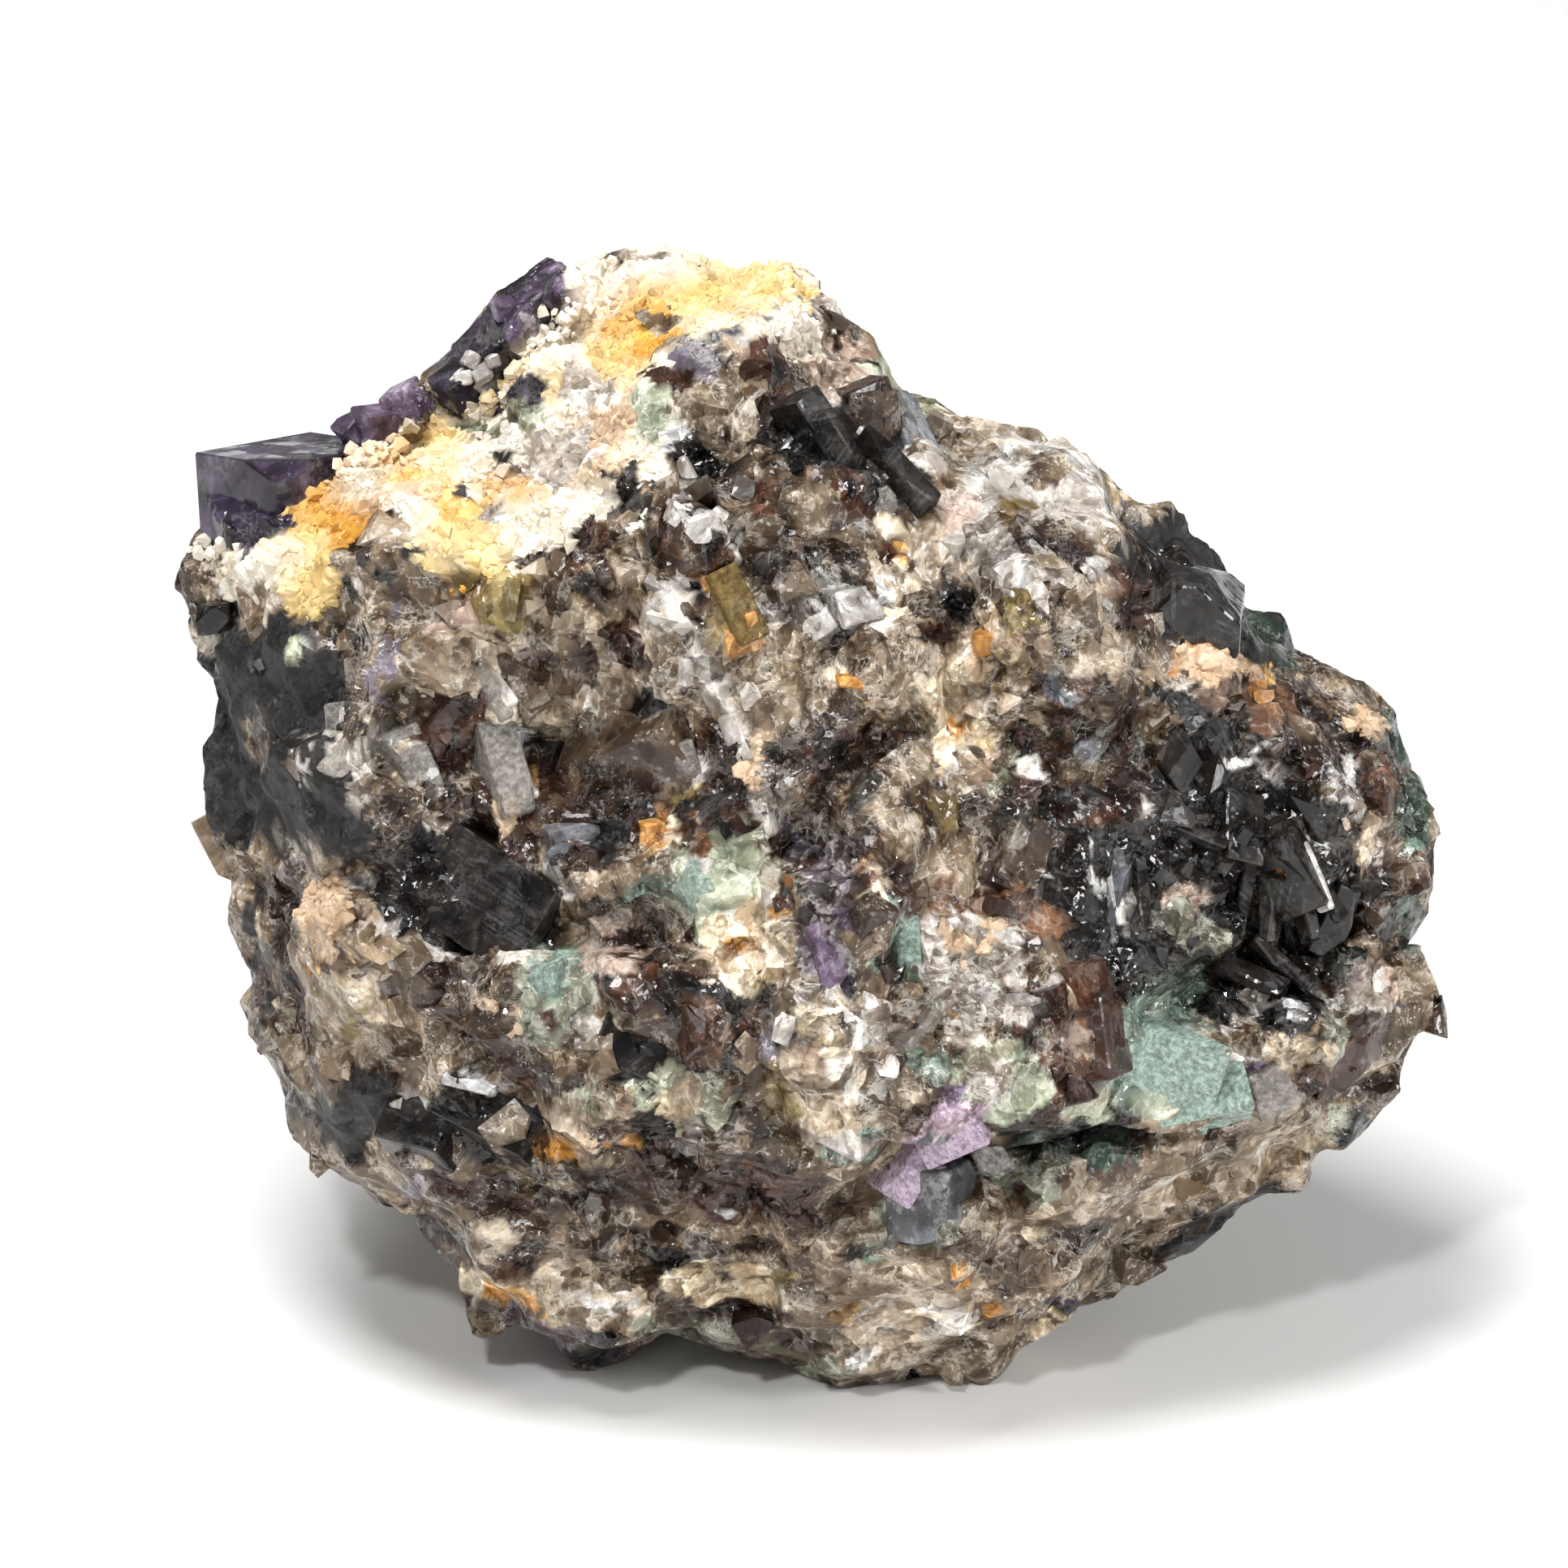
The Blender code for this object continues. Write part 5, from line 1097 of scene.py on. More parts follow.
# piece: mineral, facets, and for each crystal its centre (u, v, w), size and turn, in mm and degrees
CRYSTALS = {
    "violet_crystals": ("violet", 0.16, [
        ((-31.6, 19.7, 0.9), (8.8, 5.4, 9.0), (17, -50, -10)),
        ((-34.9, 14.9, -3.0), (4.4, 4.6, 4.6), (14, -20, 8)),
        ((-21.3, 26.4, 2.1), (3.4, 2.0, 3.0), (30, 14, 36)),
        ((-15.9, 31.6, 1.3), (2.4, 1.9, 2.6), (16, 26, 60)),
        ((24.0, -17.3, 10.4), (1.9, 1.4, 1.6), (30, 20, 14)),
    ]),
    "small_violet_cubes": ("purple", 0.2, [
        ((-26.9, 23.7, 1.3), (2.2, 2.2, 2.4), (20, 32, 8)),
        ((-25.0, 25.2, 1.1), (2.1, 2.1, 2.4), (12, -25, 24)),
        ((-28.3, 23.6, 0.6), (1.7, 1.6, 1.8), (34, 10, 50)),
        ((-15.7, 33.0, -0.2), (1.5, 1.4, 1.6), (10, 20, 30)),
        ((-18.9, 30.9, 1.6), (1.4, 1.2, 1.4), (30, 20, 10)),
        ((1.0, -8.2, 18.6), (2.8, 4.2, 3.6), (8, 20, 10)),
    ]),
    "black_cleavages": ("black", 0.24, [
        ((-21.2, -3.9, 12.3), (13.0, 6.2, 4.1), (12, -18, -34)),
        ((1.1, 21.7, 12.6), (1.9, 8.4, 4.0), (12, 24, 39)),
        ((3.1, 20.8, 12.2), (1.7, 8.0, 4.2), (-8, -26, 35)),
        ((4.8, 20.1, 11.4), (1.4, 6.4, 3.6), (-20, 34, 31)),
        ((-18.4, -18.0, 11.0), (6.7, 5.3, 4.7), (-10, -26, -26)),
        ((-23.0, -18.6, 8.2), (4.4, 5.6, 4.7), (-20, -26, -14)),
        ((-11.4, -13.9, 16.4), (3.9, 3.8, 4.0), (-14, 12, -24)),
        ((22.0, 11.4, 4.7), (5.9, 7.7, 7.5), (18, 20, -40)),
        ((29.0, -3.6, 8.0), (3.2, 5.0, 2.6), (20, -24, 24)),
        ((25.6, -1.2, 10.0), (2.8, 4.6, 2.6), (-24, 30, -14)),
        ((31.6, -6.4, 6.2), (2.2, 4.6, 2.6), (10, 28, -22)),
        ((21.8, 3.0, 11.8), (2.6, 4.0, 2.4), (30, 20, 44)),
        ((26.4, -9.8, 9.5), (5.2, 0.9, 1.8), (24, -14, -24)),
        ((28.4, -9.2, 8.8), (4.6, 1.0, 1.8), (-14, 10, -42)),
        ((-15.4, 4.0, 10.6), (2.2, 1.8, 2.4), (30, 10, 20)),
        ((-32.0, 11.2, 4.6), (3.0, 1.7, 2.0), (20, 24, -8)),
        ((-36.6, 12.0, 0.2), (2.4, 1.8, 2.0), (14, -20, 6)),
        ((24.6, -3.4, 10.5), (1.0, 6.4, 1.6), (10, 20, -30)),
        ((26.2, -4.2, 10.1), (0.9, 6.6, 1.6), (-8, 24, -16)),
        ((27.8, -4.8, 9.5), (1.0, 6.2, 1.6), (12, -20, -3)),
        ((29.6, -5.0, 8.7), (0.9, 6.0, 1.6), (-10, 24, 12)),
        ((31.2, -4.2, 7.7), (0.9, 5.2, 1.6), (10, -20, 24)),
        ((19.8, -5.4, 13.2), (0.8, 5.6, 1.4), (8, 22, 6)),
        ((21.0, -5.0, 12.8), (0.8, 5.4, 1.4), (-10, -18, 12)),
        ((17.0, 1.2, 14.0), (5.6, 0.8, 1.4), (20, 8, -26)),
        ((22.6, -1.0, 12.0), (5.2, 0.9, 1.4), (-18, 10, -22)),
    ]),
    "smoky_blocks": ("smoky_dark", 0.3, [
        ((-9.4, 3.0, 14.4), (6.7, 6.3, 4.9), (26, -30, 22)),
        ((-12.6, 3.4, 13.4), (3.4, 6.8, 4.1), (14, 34, -12)),
        ((-18.2, -12.2, 14.4), (6.8, 4.0, 4.1), (10, -18, -34)),
        ((13.6, -3.4, 15.1), (6.4, 4.4, 4.1), (-16, 22, -28)),
        ((3.4, 24.0, 11.2), (3.0, 3.4, 3.0), (16, 24, 10)),
        ((-24.4, -9.8, 12.8), (6.0, 3.0, 3.0), (24, -12, -14)),
    ]),
    "brown_prisms": ("brown", 0.35, [
        ((16.8, -12.4, 16.0), (3.2, 7.2, 3.2), (8, -28, 4)),
        ((15.8, -16.4, 12.8), (2.8, 2.2, 2.6), (4, -30, 14)),
        ((-6.6, -13.0, 16.6), (2.6, 3.0, 2.6), (-16, 24, 10)),
        ((3.4, 24.4, 10.8), (3.0, 3.4, 2.6), (12, 20, 24)),
        ((-22.2, 5.4, 10.8), (3.4, 4.0, 3.0), (20, 30, -30)),
    ]),
    "iron_stained_edges": ("amber", 0.3, [
        ((-3.8, 10.9, 20.2), (0.9, 2.4, 1.4), (20, 30, 24)),
        ((-6.0, 13.4, 19.4), (0.6, 2.0, 1.2), (10, 30, 30)),
        ((10.6, 10.3, 17.0), (2.0, 1.4, 1.6), (20, 10, 10)),
        ((-9.6, -1.6, 15.8), (1.3, 2.2, 1.6), (14, 20, 10)),
        ((2.6, 7.8, 18.6), (2.4, 0.7, 1.2), (10, 20, -6)),
    ]),
    "milky_blades": ("milky", 0.15, [
        ((-27.5, 3.0, 14.6), (1.7, 6.6, 2.6), (-6, -30, 8)),
        ((-19.2, 7.6, 14.8), (1.0, 3.6, 1.8), (-12, 20, 32)),
        ((-5.4, 6.6, 18.0), (1.3, 3.8, 2.0), (0, 30, 38)),
        ((-7.3, 19.2, 14.8), (1.0, 4.6, 1.8), (0, 24, 22)),
        ((-4.8, 17.0, 16.4), (3.2, 0.9, 1.6), (20, 0, -36)),
        ((-4.4, 4.6, 17.8), (1.3, 3.0, 1.8), (10, -24, 16)),
        ((-7.4, 8.6, 17.6), (1.6, 1.8, 1.6), (20, 30, 10)),
        ((-23.0, -8.2, 13.0), (4.4, 0.7, 1.6), (20, 0, -22)),
        ((35.0, -1.8, 1.4), (1.0, 4.8, 2.2), (0, 30, 8)),
    ]),
    # these cleaved blocks are coloured with that painted glint, their light grey standing for faces that
    # catch the light
    "cleavages_with_painted_glint": ("painted_silver_glint", 0.35, [
        ((-21.3, 26.6, 3.6), (1.1, 0.9, 1.1), (8, -10, 10)),
        ((-20.2, 26.8, 3.9), (1.2, 1.0, 1.0), (-14, 12, 30)),
        ((-20.9, 27.7, 3.5), (1.0, 0.9, 1.0), (20, 8, 60)),
        ((-19.6, 27.6, 4.0), (0.9, 0.8, 0.9), (10, 20, 20)),
        ((2.6, 12.2, 18.9), (2.6, 2.2, 1.8), (-12, 20, 14)),
        ((0.4, 11.4, 19.0), (2.0, 1.4, 1.6), (20, -14, 30)),
        ((4.2, 13.2, 18.0), (1.4, 1.8, 1.4), (-20, 30, 0)),
        ((-8.4, 22.7, 12.6), (1.6, 1.1, 1.4), (16, -20, 10)),
        ((-20.6, -16.2, 13.0), (3.4, 0.8, 1.6), (24, 0, -14)),
        ((17.9, -4.6, 14.4), (0.8, 4.6, 1.8), (0, 26, 14)),
        ((30.4, -4.0, 8.6), (0.6, 4.4, 1.8), (0, 30, 24)),
        ((2.2, 21.6, 13.6), (0.5, 6.0, 1.6), (-10, 24, 37)),
        ((4.2, 21.2, 12.8), (0.5, 5.0, 1.6), (10, -20, 33)),
    ]),
    "grey_facets": ("blue_grey", 0.22, [
        ((34.8, -11.4, 1.0), (3.4, 4.4, 5.2), (-12, 36, 12)),
        ((31.8, -12.8, 4.6), (2.0, 4.6, 3.6), (-14, 4, -14)),
        ((18.6, -5.4, 13.3), (1.7, 6.6, 4.4), (6, -24, -14)),
        ((7.4, -23.3, 12.1), (4.4, 4.7, 4.7), (16, -26, -4)),
        ((12.4, -21.8, 8.9), (4.4, 3.0, 4.4), (30, 10, -22)),
        ((5.2, 22.4, 8.7), (3.2, 6.0, 4.4), (-20, -20, 32)),
        ((16.4, 4.0, 13.6), (2.6, 1.8, 2.0), (30, -18, 30)),
        ((-14.6, -1.4, 13.4), (3.4, 2.2, 2.4), (24, 18, 14)),
    ]),
}
# the dark mass on the ridge: centre (u, v, w), half widths, turn
RIDGE_MASS = (
    ((-18.7, 28.8, 0.0), (6.2, 3.0, 4.3), (6, 4, 47)), ((-20.8, 26.8, 0.4), (3.6, 2.9, 3.8), (10, 0, 38)),
    ((-16.2, 31.5, 0.0), (3.0, 2.5, 3.4), (0, 10, 36)),
)

# A crystal that the rock would cover is brought forward until it stands out, in mm, but not by too much and
# not where the rock turns away
IN_FRONT, STANDS_OUT, FARTHEST_OUT, FACES_FRONT = 60.0, 0.3, 4.0, 0.6
CORNER, CORNER_CUTS, CORNER_STRAY, WORN_EDGE_MM = 0.82, 3, 0.06, 0.12


def cleaved_block(centre, size, turn, draw):
    """One crystal: a block turned into place, with a few corners split off and its edges a little worn."""
    deselect()
    bpy.ops.mesh.primitive_cube_add(size=1.0)
    block = bpy.context.object
    bpy.ops.object.mode_set(mode="EDIT")
    bpy.ops.mesh.select_all(action="SELECT")
    bpy.ops.transform.resize(value=[a * MM for a in size])
    for _ in range(CORNER_CUTS):
        normal = Vector([draw.choice((-1, 1)) / a for a in size]) + Vector(draw.normal(size=3)) * CORNER_STRAY
        normal.normalize()
        reach = sum(abs(n) * a for n, a in zip(normal, size)) / 2
        split_off(normal * reach * draw.uniform(CORNER - 0.2, CORNER) * MM, normal)
    bpy.ops.mesh.select_all(action="SELECT")
    bpy.ops.mesh.normals_make_consistent(inside=False)
    bpy.ops.object.mode_set(mode="OBJECT")
    apply_modifier(block, "BEVEL", width=WORN_EDGE_MM * MM, segments=1)
    set_in_place(block, brought_out(centre, size, turn), turn)
    return block


def brought_out(centre, size, turn):
    """The crystal's centre, brought forward where the rock would cover it, until its face just stands out."""
    rock = bpy.data.objects["broken_rock"]
    start, end = in_frame([(centre[0], centre[1], IN_FRONT), (centre[0], centre[1], -IN_FRONT)])
    hit, place, normal, _ = rock.ray_cast(Vector(start), Vector(end - start))
    if not hit or normal.dot(Vector(start - end).normalized()) < FACES_FRONT:
        return centre
    turned = Euler([math.radians(a) for a in turn]).to_matrix()
    thick = min(a / 2 / max(abs(turned[2][i]), 1e-6) for i, a in enumerate(size))
    short = on_face([place])[0][2] + STANDS_OUT - thick - centre[2]
    return (centre[0], centre[1], centre[2] + short) if 0 < short < FARTHEST_OUT else centre


MASS_CUTS, MASS_REACH, MASS_FINENESS_MM = 16, (0.74, 0.92), 0.24


def rounded_mass(centre, half, turn, draw):
    """A water-worn looking crystal mass: a ball drawn out and split along a few planes, its edges rounded."""
    deselect()
    bpy.ops.mesh.primitive_ico_sphere_add(subdivisions=4, radius=1.0)
    mass = bpy.context.object
    bpy.ops.object.mode_set(mode="EDIT")
    bpy.ops.mesh.select_all(action="SELECT")
    bpy.ops.transform.resize(value=[a * MM for a in half])
    for _ in range(MASS_CUTS):
        normal = draw.normal(size=3)
        normal /= np.linalg.norm(normal)
        split_off(normal * half * draw.uniform(*MASS_REACH) * MM, normal / half)
    bpy.ops.object.mode_set(mode="OBJECT")
    apply_modifier(mass, "REMESH", mode="VOXEL", voxel_size=MASS_FINENESS_MM * MM)
    apply_modifier(mass, "SMOOTH", factor=0.5, iterations=2)
    bpy.ops.object.shade_smooth()
    set_in_place(mass, centre, turn)
    return mass


def set_in_place(piece, centre, turn):
    """Turns a piece by its own angles in degrees, leans it with the face and moves it to its place there."""
    lean = Matrix.Rotation(math.pi / 2 - LEAN, 4, "X")
    own = Euler([math.radians(a) for a in turn]).to_matrix().to_4x4()
    piece.matrix_world = Matrix.Translation(in_frame([centre])[0]) @ lean @ own
    make_active(piece)
    bpy.ops.object.transform_apply(location=True, rotation=True, scale=True)


def join_pieces(name, parts):
    deselect()
    for part in parts:
        part.select_set(True)
    bpy.context.view_layer.objects.active = parts[0]
    if len(parts) > 1:
        bpy.ops.object.join()
    made = bpy.context.object
    made.name = name
    move_points(made.data, keep_in_cad_box(points_of(made.data)))
    return made


def refine(piece, edge):
    """Cuts the faces small enough to carry colours that change from point to point."""
    make_active(piece)
    apply_modifier(piece, "TRIANGULATE")
    bpy.ops.object.mode_set(mode="EDIT")
    for _ in range(6):
        bpy.ops.mesh.select_all(action="DESELECT")
        bpy.ops.object.mode_set(mode="OBJECT")
        points = points_of(piece.data)
        ends = np.zeros(len(piece.data.edges) * 2, np.int32)
        piece.data.edges.foreach_get("vertices", ends)
        ends = ends.reshape(-1, 2)
        long = np.linalg.norm(points[ends[:, 0]] - points[ends[:, 1]], axis=1) > edge
        if not long.any():
            break
        piece.data.edges.foreach_set("select", long)
        bpy.ops.object.mode_set(mode="EDIT")
        bpy.ops.mesh.select_mode(type="EDGE")
        bpy.ops.mesh.subdivide(number_cuts=1)
    if piece.mode != "OBJECT":
        bpy.ops.object.mode_set(mode="OBJECT")


FINEST_EDGE_MM, CLEAVAGE_CRUMB = 0.9, 0.45


def set_cleavages():
    """Joins each group of dark or grey crystals and gives it its mineral's look."""
    draw = np.random.default_rng(19)
    for name, (mineral, facets, rows) in CRYSTALS.items():
        parts = [cleaved_block(*row, draw) for row in rows]
        if name == "violet_crystals":
            parts += [rounded_mass(*row, draw) for row in RIDGE_MASS]
        piece = join_pieces(name, parts)
        refine(piece, FINEST_EDGE_MM * MM)
        points = on_face(points_of(piece.data))
        own = np.full(len(points), MINERAL_NAMES.index(mineral))
        dress_points(piece.data, points, own, 601)
        change_trait(piece, "facets", facets)
        change_trait(piece, "crumb", CLEAVAGE_CRUMB)
        finish_stone(piece)


# piece: material, tint, depth in mm at which the tint is full, colours of its haze, how hazy it is, and rows
CLEAR_CRYSTALS = {
    "clear_blades": ("colourless fluorite, cleaved", "cfc8bd", 6.0, "7c756e", "c0bbb4", 0.45, [
        ((-24.2, 1.8, 13.0), (2.4, 7.0, 3.6), (14, 26, 30)),
        ((-27.4, 3.2, 13.5), (2.2, 6.8, 4.0), (-6, -22, 8)),
        ((-18.9, 2.6, 13.6), (2.3, 6.6, 4.0), (-10, 20, 14)),
        ((-19.6, 6.9, 14.0), (1.2, 3.8, 3.0), (-12, 24, 20)),
        ((27.4, -16.4, 8.4), (3.3, 3.2, 4.0), (24, 20, 28)),
        ((-7.8, 3.2, 16.6), (1.4, 2.2, 1.8), (10, 20, 20)),
        ((1.6, 12.6, 18.4), (2.2, 1.8, 2.0), (20, 30, 14)),
        ((3.0, 11.4, 18.6), (1.8, 1.6, 1.8), (34, -20, 40)),
        ((0.4, 11.2, 18.8), (1.6, 1.4, 1.6), (10, 40, -20)),
        ((10.6, -20.8, 11.6), (2.0, 2.2, 2.0), (20, 10, 30)),
        ((14.2, 2.2, 14.6), (2.8, 0.9, 1.6), (10, 30, -10)),
        ((-7.3, -19.8, 14.8), (1.6, 1.4, 1.6), (20, 30, 10)),
        ((4.2, 18.6, 13.8), (1.6, 1.4, 1.6), (30, 10, 20)),
    ]),
    "honey_wedge": ("honey fluorite, cleaved", "a4854a", 4.0, "564526", "8b7442", 0.62, [
        ((-4.9, 12.2, 19.4), (2.0, 4.8, 3.4), (0, 22, 26)),
    ]),
    "green_fluorite": ("green fluorite, cleaved", "8aa698", 5.0, "74897e", "bccfc4", 0.6, [
        ((21.0, -15.4, 11.4), (6.8, 6.0, 4.8), (22, 16, -10)),
        ((23.4, -17.6, 9.8), (6.0, 3.4, 4.4), (-18, 8, 12)),
        ((5.4, -8.0, 18.4), (1.6, 3.8, 2.0), (10, 26, 8)),
        ((-6.8, -4.6, 16.8), (2.6, 2.2, 2.2), (30, 14, -30)),
        ((-15.8, -10.6, 15.2), (2.2, 3.4, 2.4), (14, -26, 10)),
        ((12.0, -15.4, 15.4), (2.6, 2.0, 2.2), (24, 10, 0)),
    ]),
    "pink_fluorite": ("pink violet fluorite, cleaved", "b091ab", 4.0, "947c93", "cbbbc9", 0.8, [
        ((8.4, -18.9, 15.0), (4.3, 2.5, 3.8), (26, -18, 24)),
        ((5.6, -21.6, 13.4), (1.9, 3.8, 3.4), (0, 24, -32)),
        ((8.8, -17.4, 14.6), (1.6, 1.4, 1.8), (20, 30, 50)),
    ]),
}


def set_clear_crystals():
    """Joins each group of clear crystals and gives it its own tint."""
    draw = np.random.default_rng(23)
    for name, (kind, tint, depth, body, pale, haze, rows) in CLEAR_CRYSTALS.items():
        piece = join_pieces(name, [cleaved_block(*row, draw) for row in rows])
        piece.data.materials.clear()
        piece.data.materials.append(clear_crystal(kind, tint, depth, body, pale, haze))
        ride_as_stone(piece)


# sugary grains that lap over the cube and the ridge: mineral, from (u, v, w), to (u, v, w), how many
LAPS = (
    ("orange", (-31.0, 16.2, 7.6), (-28.2, 20.2, 6.6), 110),
    ("yellow", (-29.0, 19.4, 6.4), (-26.2, 22.0, 4.8), 90),
    ("yellow", (-33.4, 15.2, 5.4), (-30.8, 16.4, 6.4), 30),
    ("crust", (-37.6, 16.0, 3.2), (-32.6, 15.6, 5.4), 70),
    ("crust", (-28.8, 20.4, 5.8), (-26.2, 22.2, 4.4), 70),
    ("yellow", (-31.0, 20.6, 3.6), (-28.8, 21.2, 3.2), 14),
    ("crust", (-19.2, 25.2, 3.0), (-14.6, 31.2, 2.2), 110),
    ("yellow", (-20.2, 24.6, 3.2), (-16.8, 27.4, 2.8), 50),
)
CRUST_COUNT, CRUST_KINDS, CRUST_TONE = 3600, 6, (0.88, 0.18)
SMALLEST_GRAIN, CRUST_MORE, LAPPED_MORE = 0.42, 0.95, 0.66
LAP_STRAY, CORNER_SHIFT = (0.42, 0.42, 0.3), 0.085
CRUST_END_W, CRUST_FADE_MM, CRUST_BEHIND = -14, 10, 0.15


def round_grain(seed):
    """One sugary grain, about 1 across: a rough ball with its corners shifted about."""
    draw = np.random.default_rng(seed)
    deselect()
    bpy.ops.mesh.primitive_ico_sphere_add(subdivisions=1, radius=0.5)
    points, faces = take_shape(bpy.context.object)
    return points + draw.normal(size=points.shape) * CORNER_SHIFT, faces


def lap_places(draw):
    """Places and minerals of the grains in LAPS."""
    places, minerals = [], []
    for name, start, end, count in LAPS:
        share = draw.random(count)[:, None]
        line = np.array(start) * (1 - share) + np.array(end) * share
        places.append(in_frame(line + draw.normal(size=(count, 3)) * LAP_STRAY))
        minerals += [MINERAL_NAMES.index(name)] * count
    return np.vstack(places), np.array(minerals)


def spread_crust():
    """Sugary quartz grains of the crest, stained by iron, each a small crystal of its own."""
    rock = bpy.data.objects["broken_rock"]
    draw = np.random.default_rng(37)
    shapes = [round_grain(200 + seed) for seed in range(CRUST_KINDS)]
    face = on_face(points_of(rock.data))
    mineral = minerals_at(face)
    sugary = TRAITS[mineral, CRUMB] > SUGARY
    weight = sugary * np.clip((face[:, 2] - CRUST_END_W) / CRUST_FADE_MM, CRUST_BEHIND, 1.0)
    count = CRUST_COUNT // 1
    chosen, places, normals = scatter_on(rock, count, draw, weight)
    lapped, lapped_minerals = lap_places(draw)
    size = SMALLEST_GRAIN + CRUST_MORE * draw.random(count) ** 2.2
    places = places - normals * (size * draw.uniform(0.1, 0.3, count))[:, None] * MM
    places = np.vstack((places, lapped))
    mineral = np.concatenate((mineral[chosen], lapped_minerals))
    size = np.concatenate((size, SMALLEST_GRAIN + LAPPED_MORE * draw.random(len(lapped)) ** 1.5))
    count = len(size)
    shape = np.column_stack((np.ones(count), draw.uniform(0.7, 1.0, count), draw.uniform(0.6, 1.0, count)))
    piece, owner = gather("sugary_crust", shapes, draw, shape * size[:, None] * MM, places)
    tone_by_grain(piece, owner, mineral, draw, CRUST_TONE)
    finish_stone(piece)


# Stage

# Soft lamps: name, place on the face in mm, width in m, and power as a share of the main lamp's
LAMPS = (("key", (-120, 520, 330), 0.24, 1.0), ("side", (480, 120, 330), 0.16, 0.42),
         ("low", (-120, -300, 520), 0.20, 0.26), ("spark", (-140, 260, 640), 0.05, 0.35))
AIMED_AT = Vector((0, 0, 0.032))
FLOOR_WIDTH, SENSOR_MM = 6.0, 36.0


def soft_lamp(name, face_place, width, power):
    """A large soft lamp, placed in the face's own directions, aimed at the stone."""
    data = bpy.data.lights.new(name, "AREA")
    data.shape = "SQUARE"
    data.size = width
    data.energy = power
    lamp = bpy.data.objects.new(name, data)
    bpy.context.scene.collection.objects.link(lamp)
    lamp.location = in_frame([face_place])[0]
    lamp.rotation_euler = (AIMED_AT - lamp.location).to_track_quat("-Z", "Y").to_euler()


def set_stage(settings):
    deselect()
    bpy.ops.mesh.primitive_plane_add(size=FLOOR_WIDTH, location=(0, 0, CAD_LOW[2]))
    floor = bpy.context.object
    floor.name = "pale_floor"
    # matt paper has next to no sheen
    material, tree = start_material("pale matt paper")
    surface = add(tree, "BsdfPrincipled", {
        "Base Color": (*settings.floor_colour, 1), "Roughness": 0.9, "Specular IOR Level": 0.1})
    add(tree, "OutputMaterial", {"Surface": surface})
    floor.data.materials.append(material)
    scene = bpy.context.scene
    world = bpy.data.worlds.new("bright studio")
    scene.world = world
    world.use_nodes = True
    world.node_tree.nodes["Background"].inputs["Color"].default_value = (1, 1, 1, 1)
    world.node_tree.nodes["Background"].inputs["Strength"].default_value = settings.surround
    for name, face_place, width, share in LAMPS:
        soft_lamp(name, face_place, width, settings.key_power * share)
    data = bpy.data.cameras.new("camera")
    data.lens = SENSOR_MM * EYE_W / VIEW_WIDTH
    data.sensor_width = SENSOR_MM
    data.clip_start = 0.01
    data.clip_end = 20.0
    camera = bpy.data.objects.new("camera", data)
    scene.collection.objects.link(camera)
    camera.location = in_frame([(EYE_U, EYE_V, EYE_W)])[0]
    camera.rotation_euler = (math.pi / 2 - LEAN, 0, 0)
    scene.camera = camera
    scene.view_settings.view_transform = "Standard"
    scene.view_settings.look = "None"


# Add-on

class StoneSettings(bpy.types.PropertyGroup):
    fineness: FloatProperty(
        name="Fineness", default=0.00030, min=0.0002, max=0.003, unit="LENGTH", precision=5,
        description="Edge length of the rock's skin")
    coarse_grain: FloatProperty(
        name="Coarse grain", default=0.0054, unit="LENGTH", precision=4,
        description="Size of the blocks that the rock breaks into")
    middle_grain: FloatProperty(
        name="Middle grain", default=0.0019, unit="LENGTH", precision=4,
        description="Size of the grains in each block")
    fine_grain: FloatProperty(
        name="Fine grain", default=0.00085, unit="LENGTH", precision=5,
        description="Size of the smallest grains that are shaped")
    chip_count: IntProperty(
        name="Broken grains", default=460, min=0,
        description="How many separate broken grains stand out of the rock")


class StageSettings(bpy.types.PropertyGroup):
    floor_colour: FloatVectorProperty(
        name="Floor", default=linear("f4f4f3"), subtype="COLOR", size=3, min=0, max=1,
        description="Colour of the paper that the stone stands on")
    surround: FloatProperty(
        name="Surround", default=0.22, description="Strength of the light from all around")
    key_power: FloatProperty(
        name="Main lamp", default=4.35, unit="POWER", description="Power of the main soft lamp")


class SPECIMEN_OT_rock(bpy.types.Operator):
    """Builds the broken rock around the solid"""
    bl_idname = "specimen.rock"
    bl_label = "Broken rock"

    def execute(self, context):
        rock = shape_rock(context.scene.specimen_stone)
        finish_stone(rock)
        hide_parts(CAD_NODE)
        return {"FINISHED"}


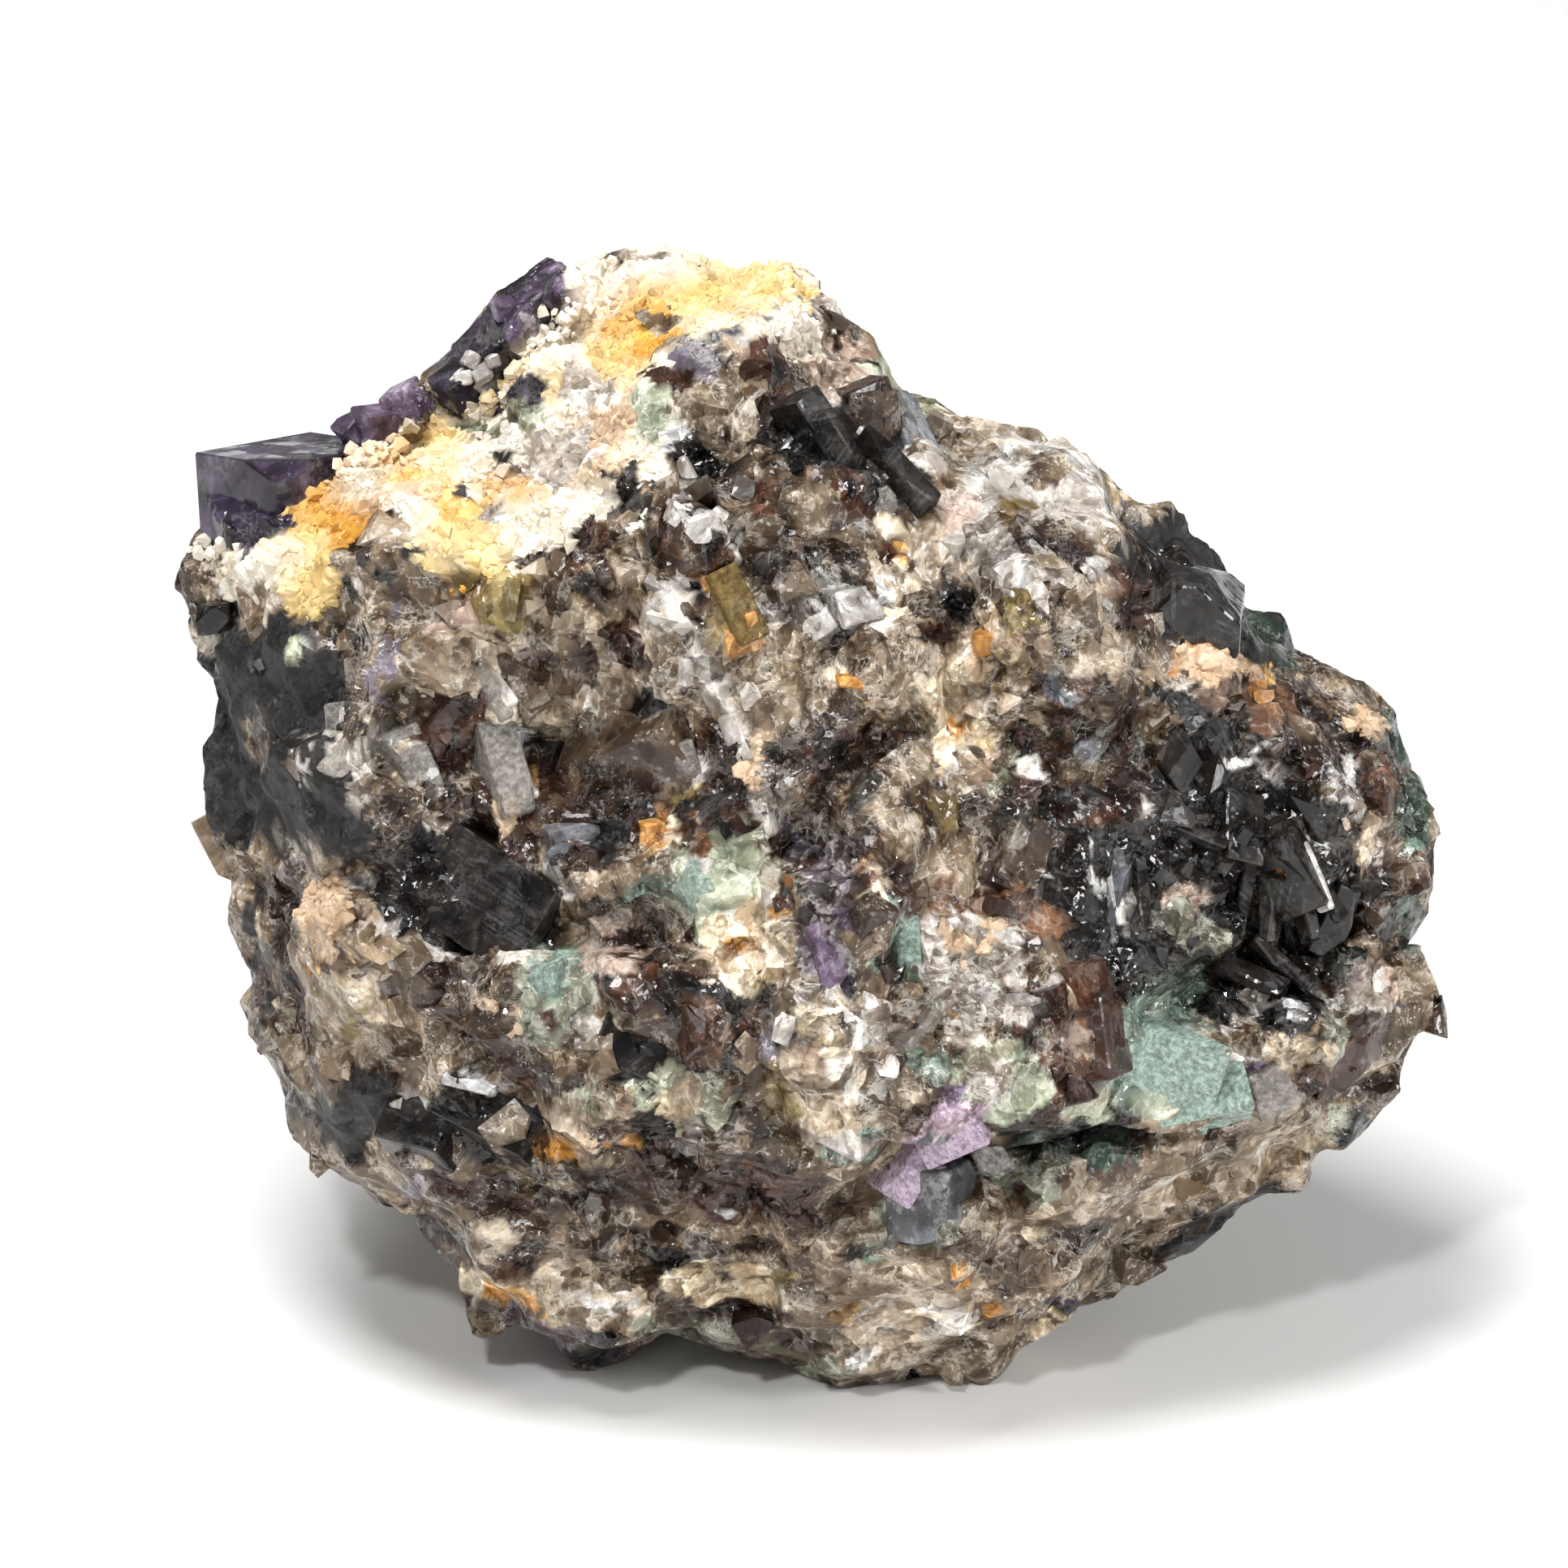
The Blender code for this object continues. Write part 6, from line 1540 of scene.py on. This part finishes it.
class SPECIMEN_OT_grains(bpy.types.Operator):
    """Spreads broken grains over the rock"""
    bl_idname = "specimen.grains"
    bl_label = "Broken grains"

    def execute(self, context):
        spread_chips(context.scene.specimen_stone)
        spread_crust()
        return {"FINISHED"}


class SPECIMEN_OT_cleavages(bpy.types.Operator):
    """Sets the dark and grey cleaved crystals into the rock"""
    bl_idname = "specimen.cleavages"
    bl_label = "Dark cleaved crystals"

    def execute(self, context):
        set_cleavages()
        return {"FINISHED"}


class SPECIMEN_OT_clear(bpy.types.Operator):
    """Sets the clear, green and pink crystals into the rock"""
    bl_idname = "specimen.clear"
    bl_label = "Clear crystals"

    def execute(self, context):
        set_clear_crystals()
        return {"FINISHED"}


class SPECIMEN_OT_stage(bpy.types.Operator):
    """Sets the floor, the lamps and the camera"""
    bl_idname = "specimen.stage"
    bl_label = "Stage"

    def execute(self, context):
        set_stage(context.scene.specimen_stage)
        return {"FINISHED"}


class SPECIMEN_PT_panel(bpy.types.Panel):
    bl_idname = "SPECIMEN_PT_panel"
    bl_label = "Fluorite specimen"
    bl_space_type = "VIEW_3D"
    bl_region_type = "UI"
    bl_category = "Specimen"

    def draw(self, context):
        layout = self.layout
        for group in (context.scene.specimen_stone, context.scene.specimen_stage):
            for name in group.__annotations__:
                layout.prop(group, name)
        for step in STEPS_IN_ORDER:
            layout.operator(step)


STEPS_IN_ORDER = (
    "specimen.rock", "specimen.grains", "specimen.cleavages", "specimen.clear", "specimen.stage")
CLASSES = (
    StoneSettings, StageSettings, SPECIMEN_OT_rock, SPECIMEN_OT_grains, SPECIMEN_OT_cleavages,
    SPECIMEN_OT_clear, SPECIMEN_OT_stage, SPECIMEN_PT_panel)


def register():
    for made in CLASSES:
        bpy.utils.register_class(made)
    bpy.types.Scene.specimen_stone = PointerProperty(type=StoneSettings)
    bpy.types.Scene.specimen_stage = PointerProperty(type=StageSettings)


def unregister():
    del bpy.types.Scene.specimen_stage
    del bpy.types.Scene.specimen_stone
    for made in reversed(CLASSES):
        bpy.utils.unregister_class(made)


def main():
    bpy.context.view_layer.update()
    register()
    for step in STEPS_IN_ORDER:
        family, name = step.split(".")
        getattr(getattr(bpy.ops, family), name)()


if __name__ == "__main__":
    main()
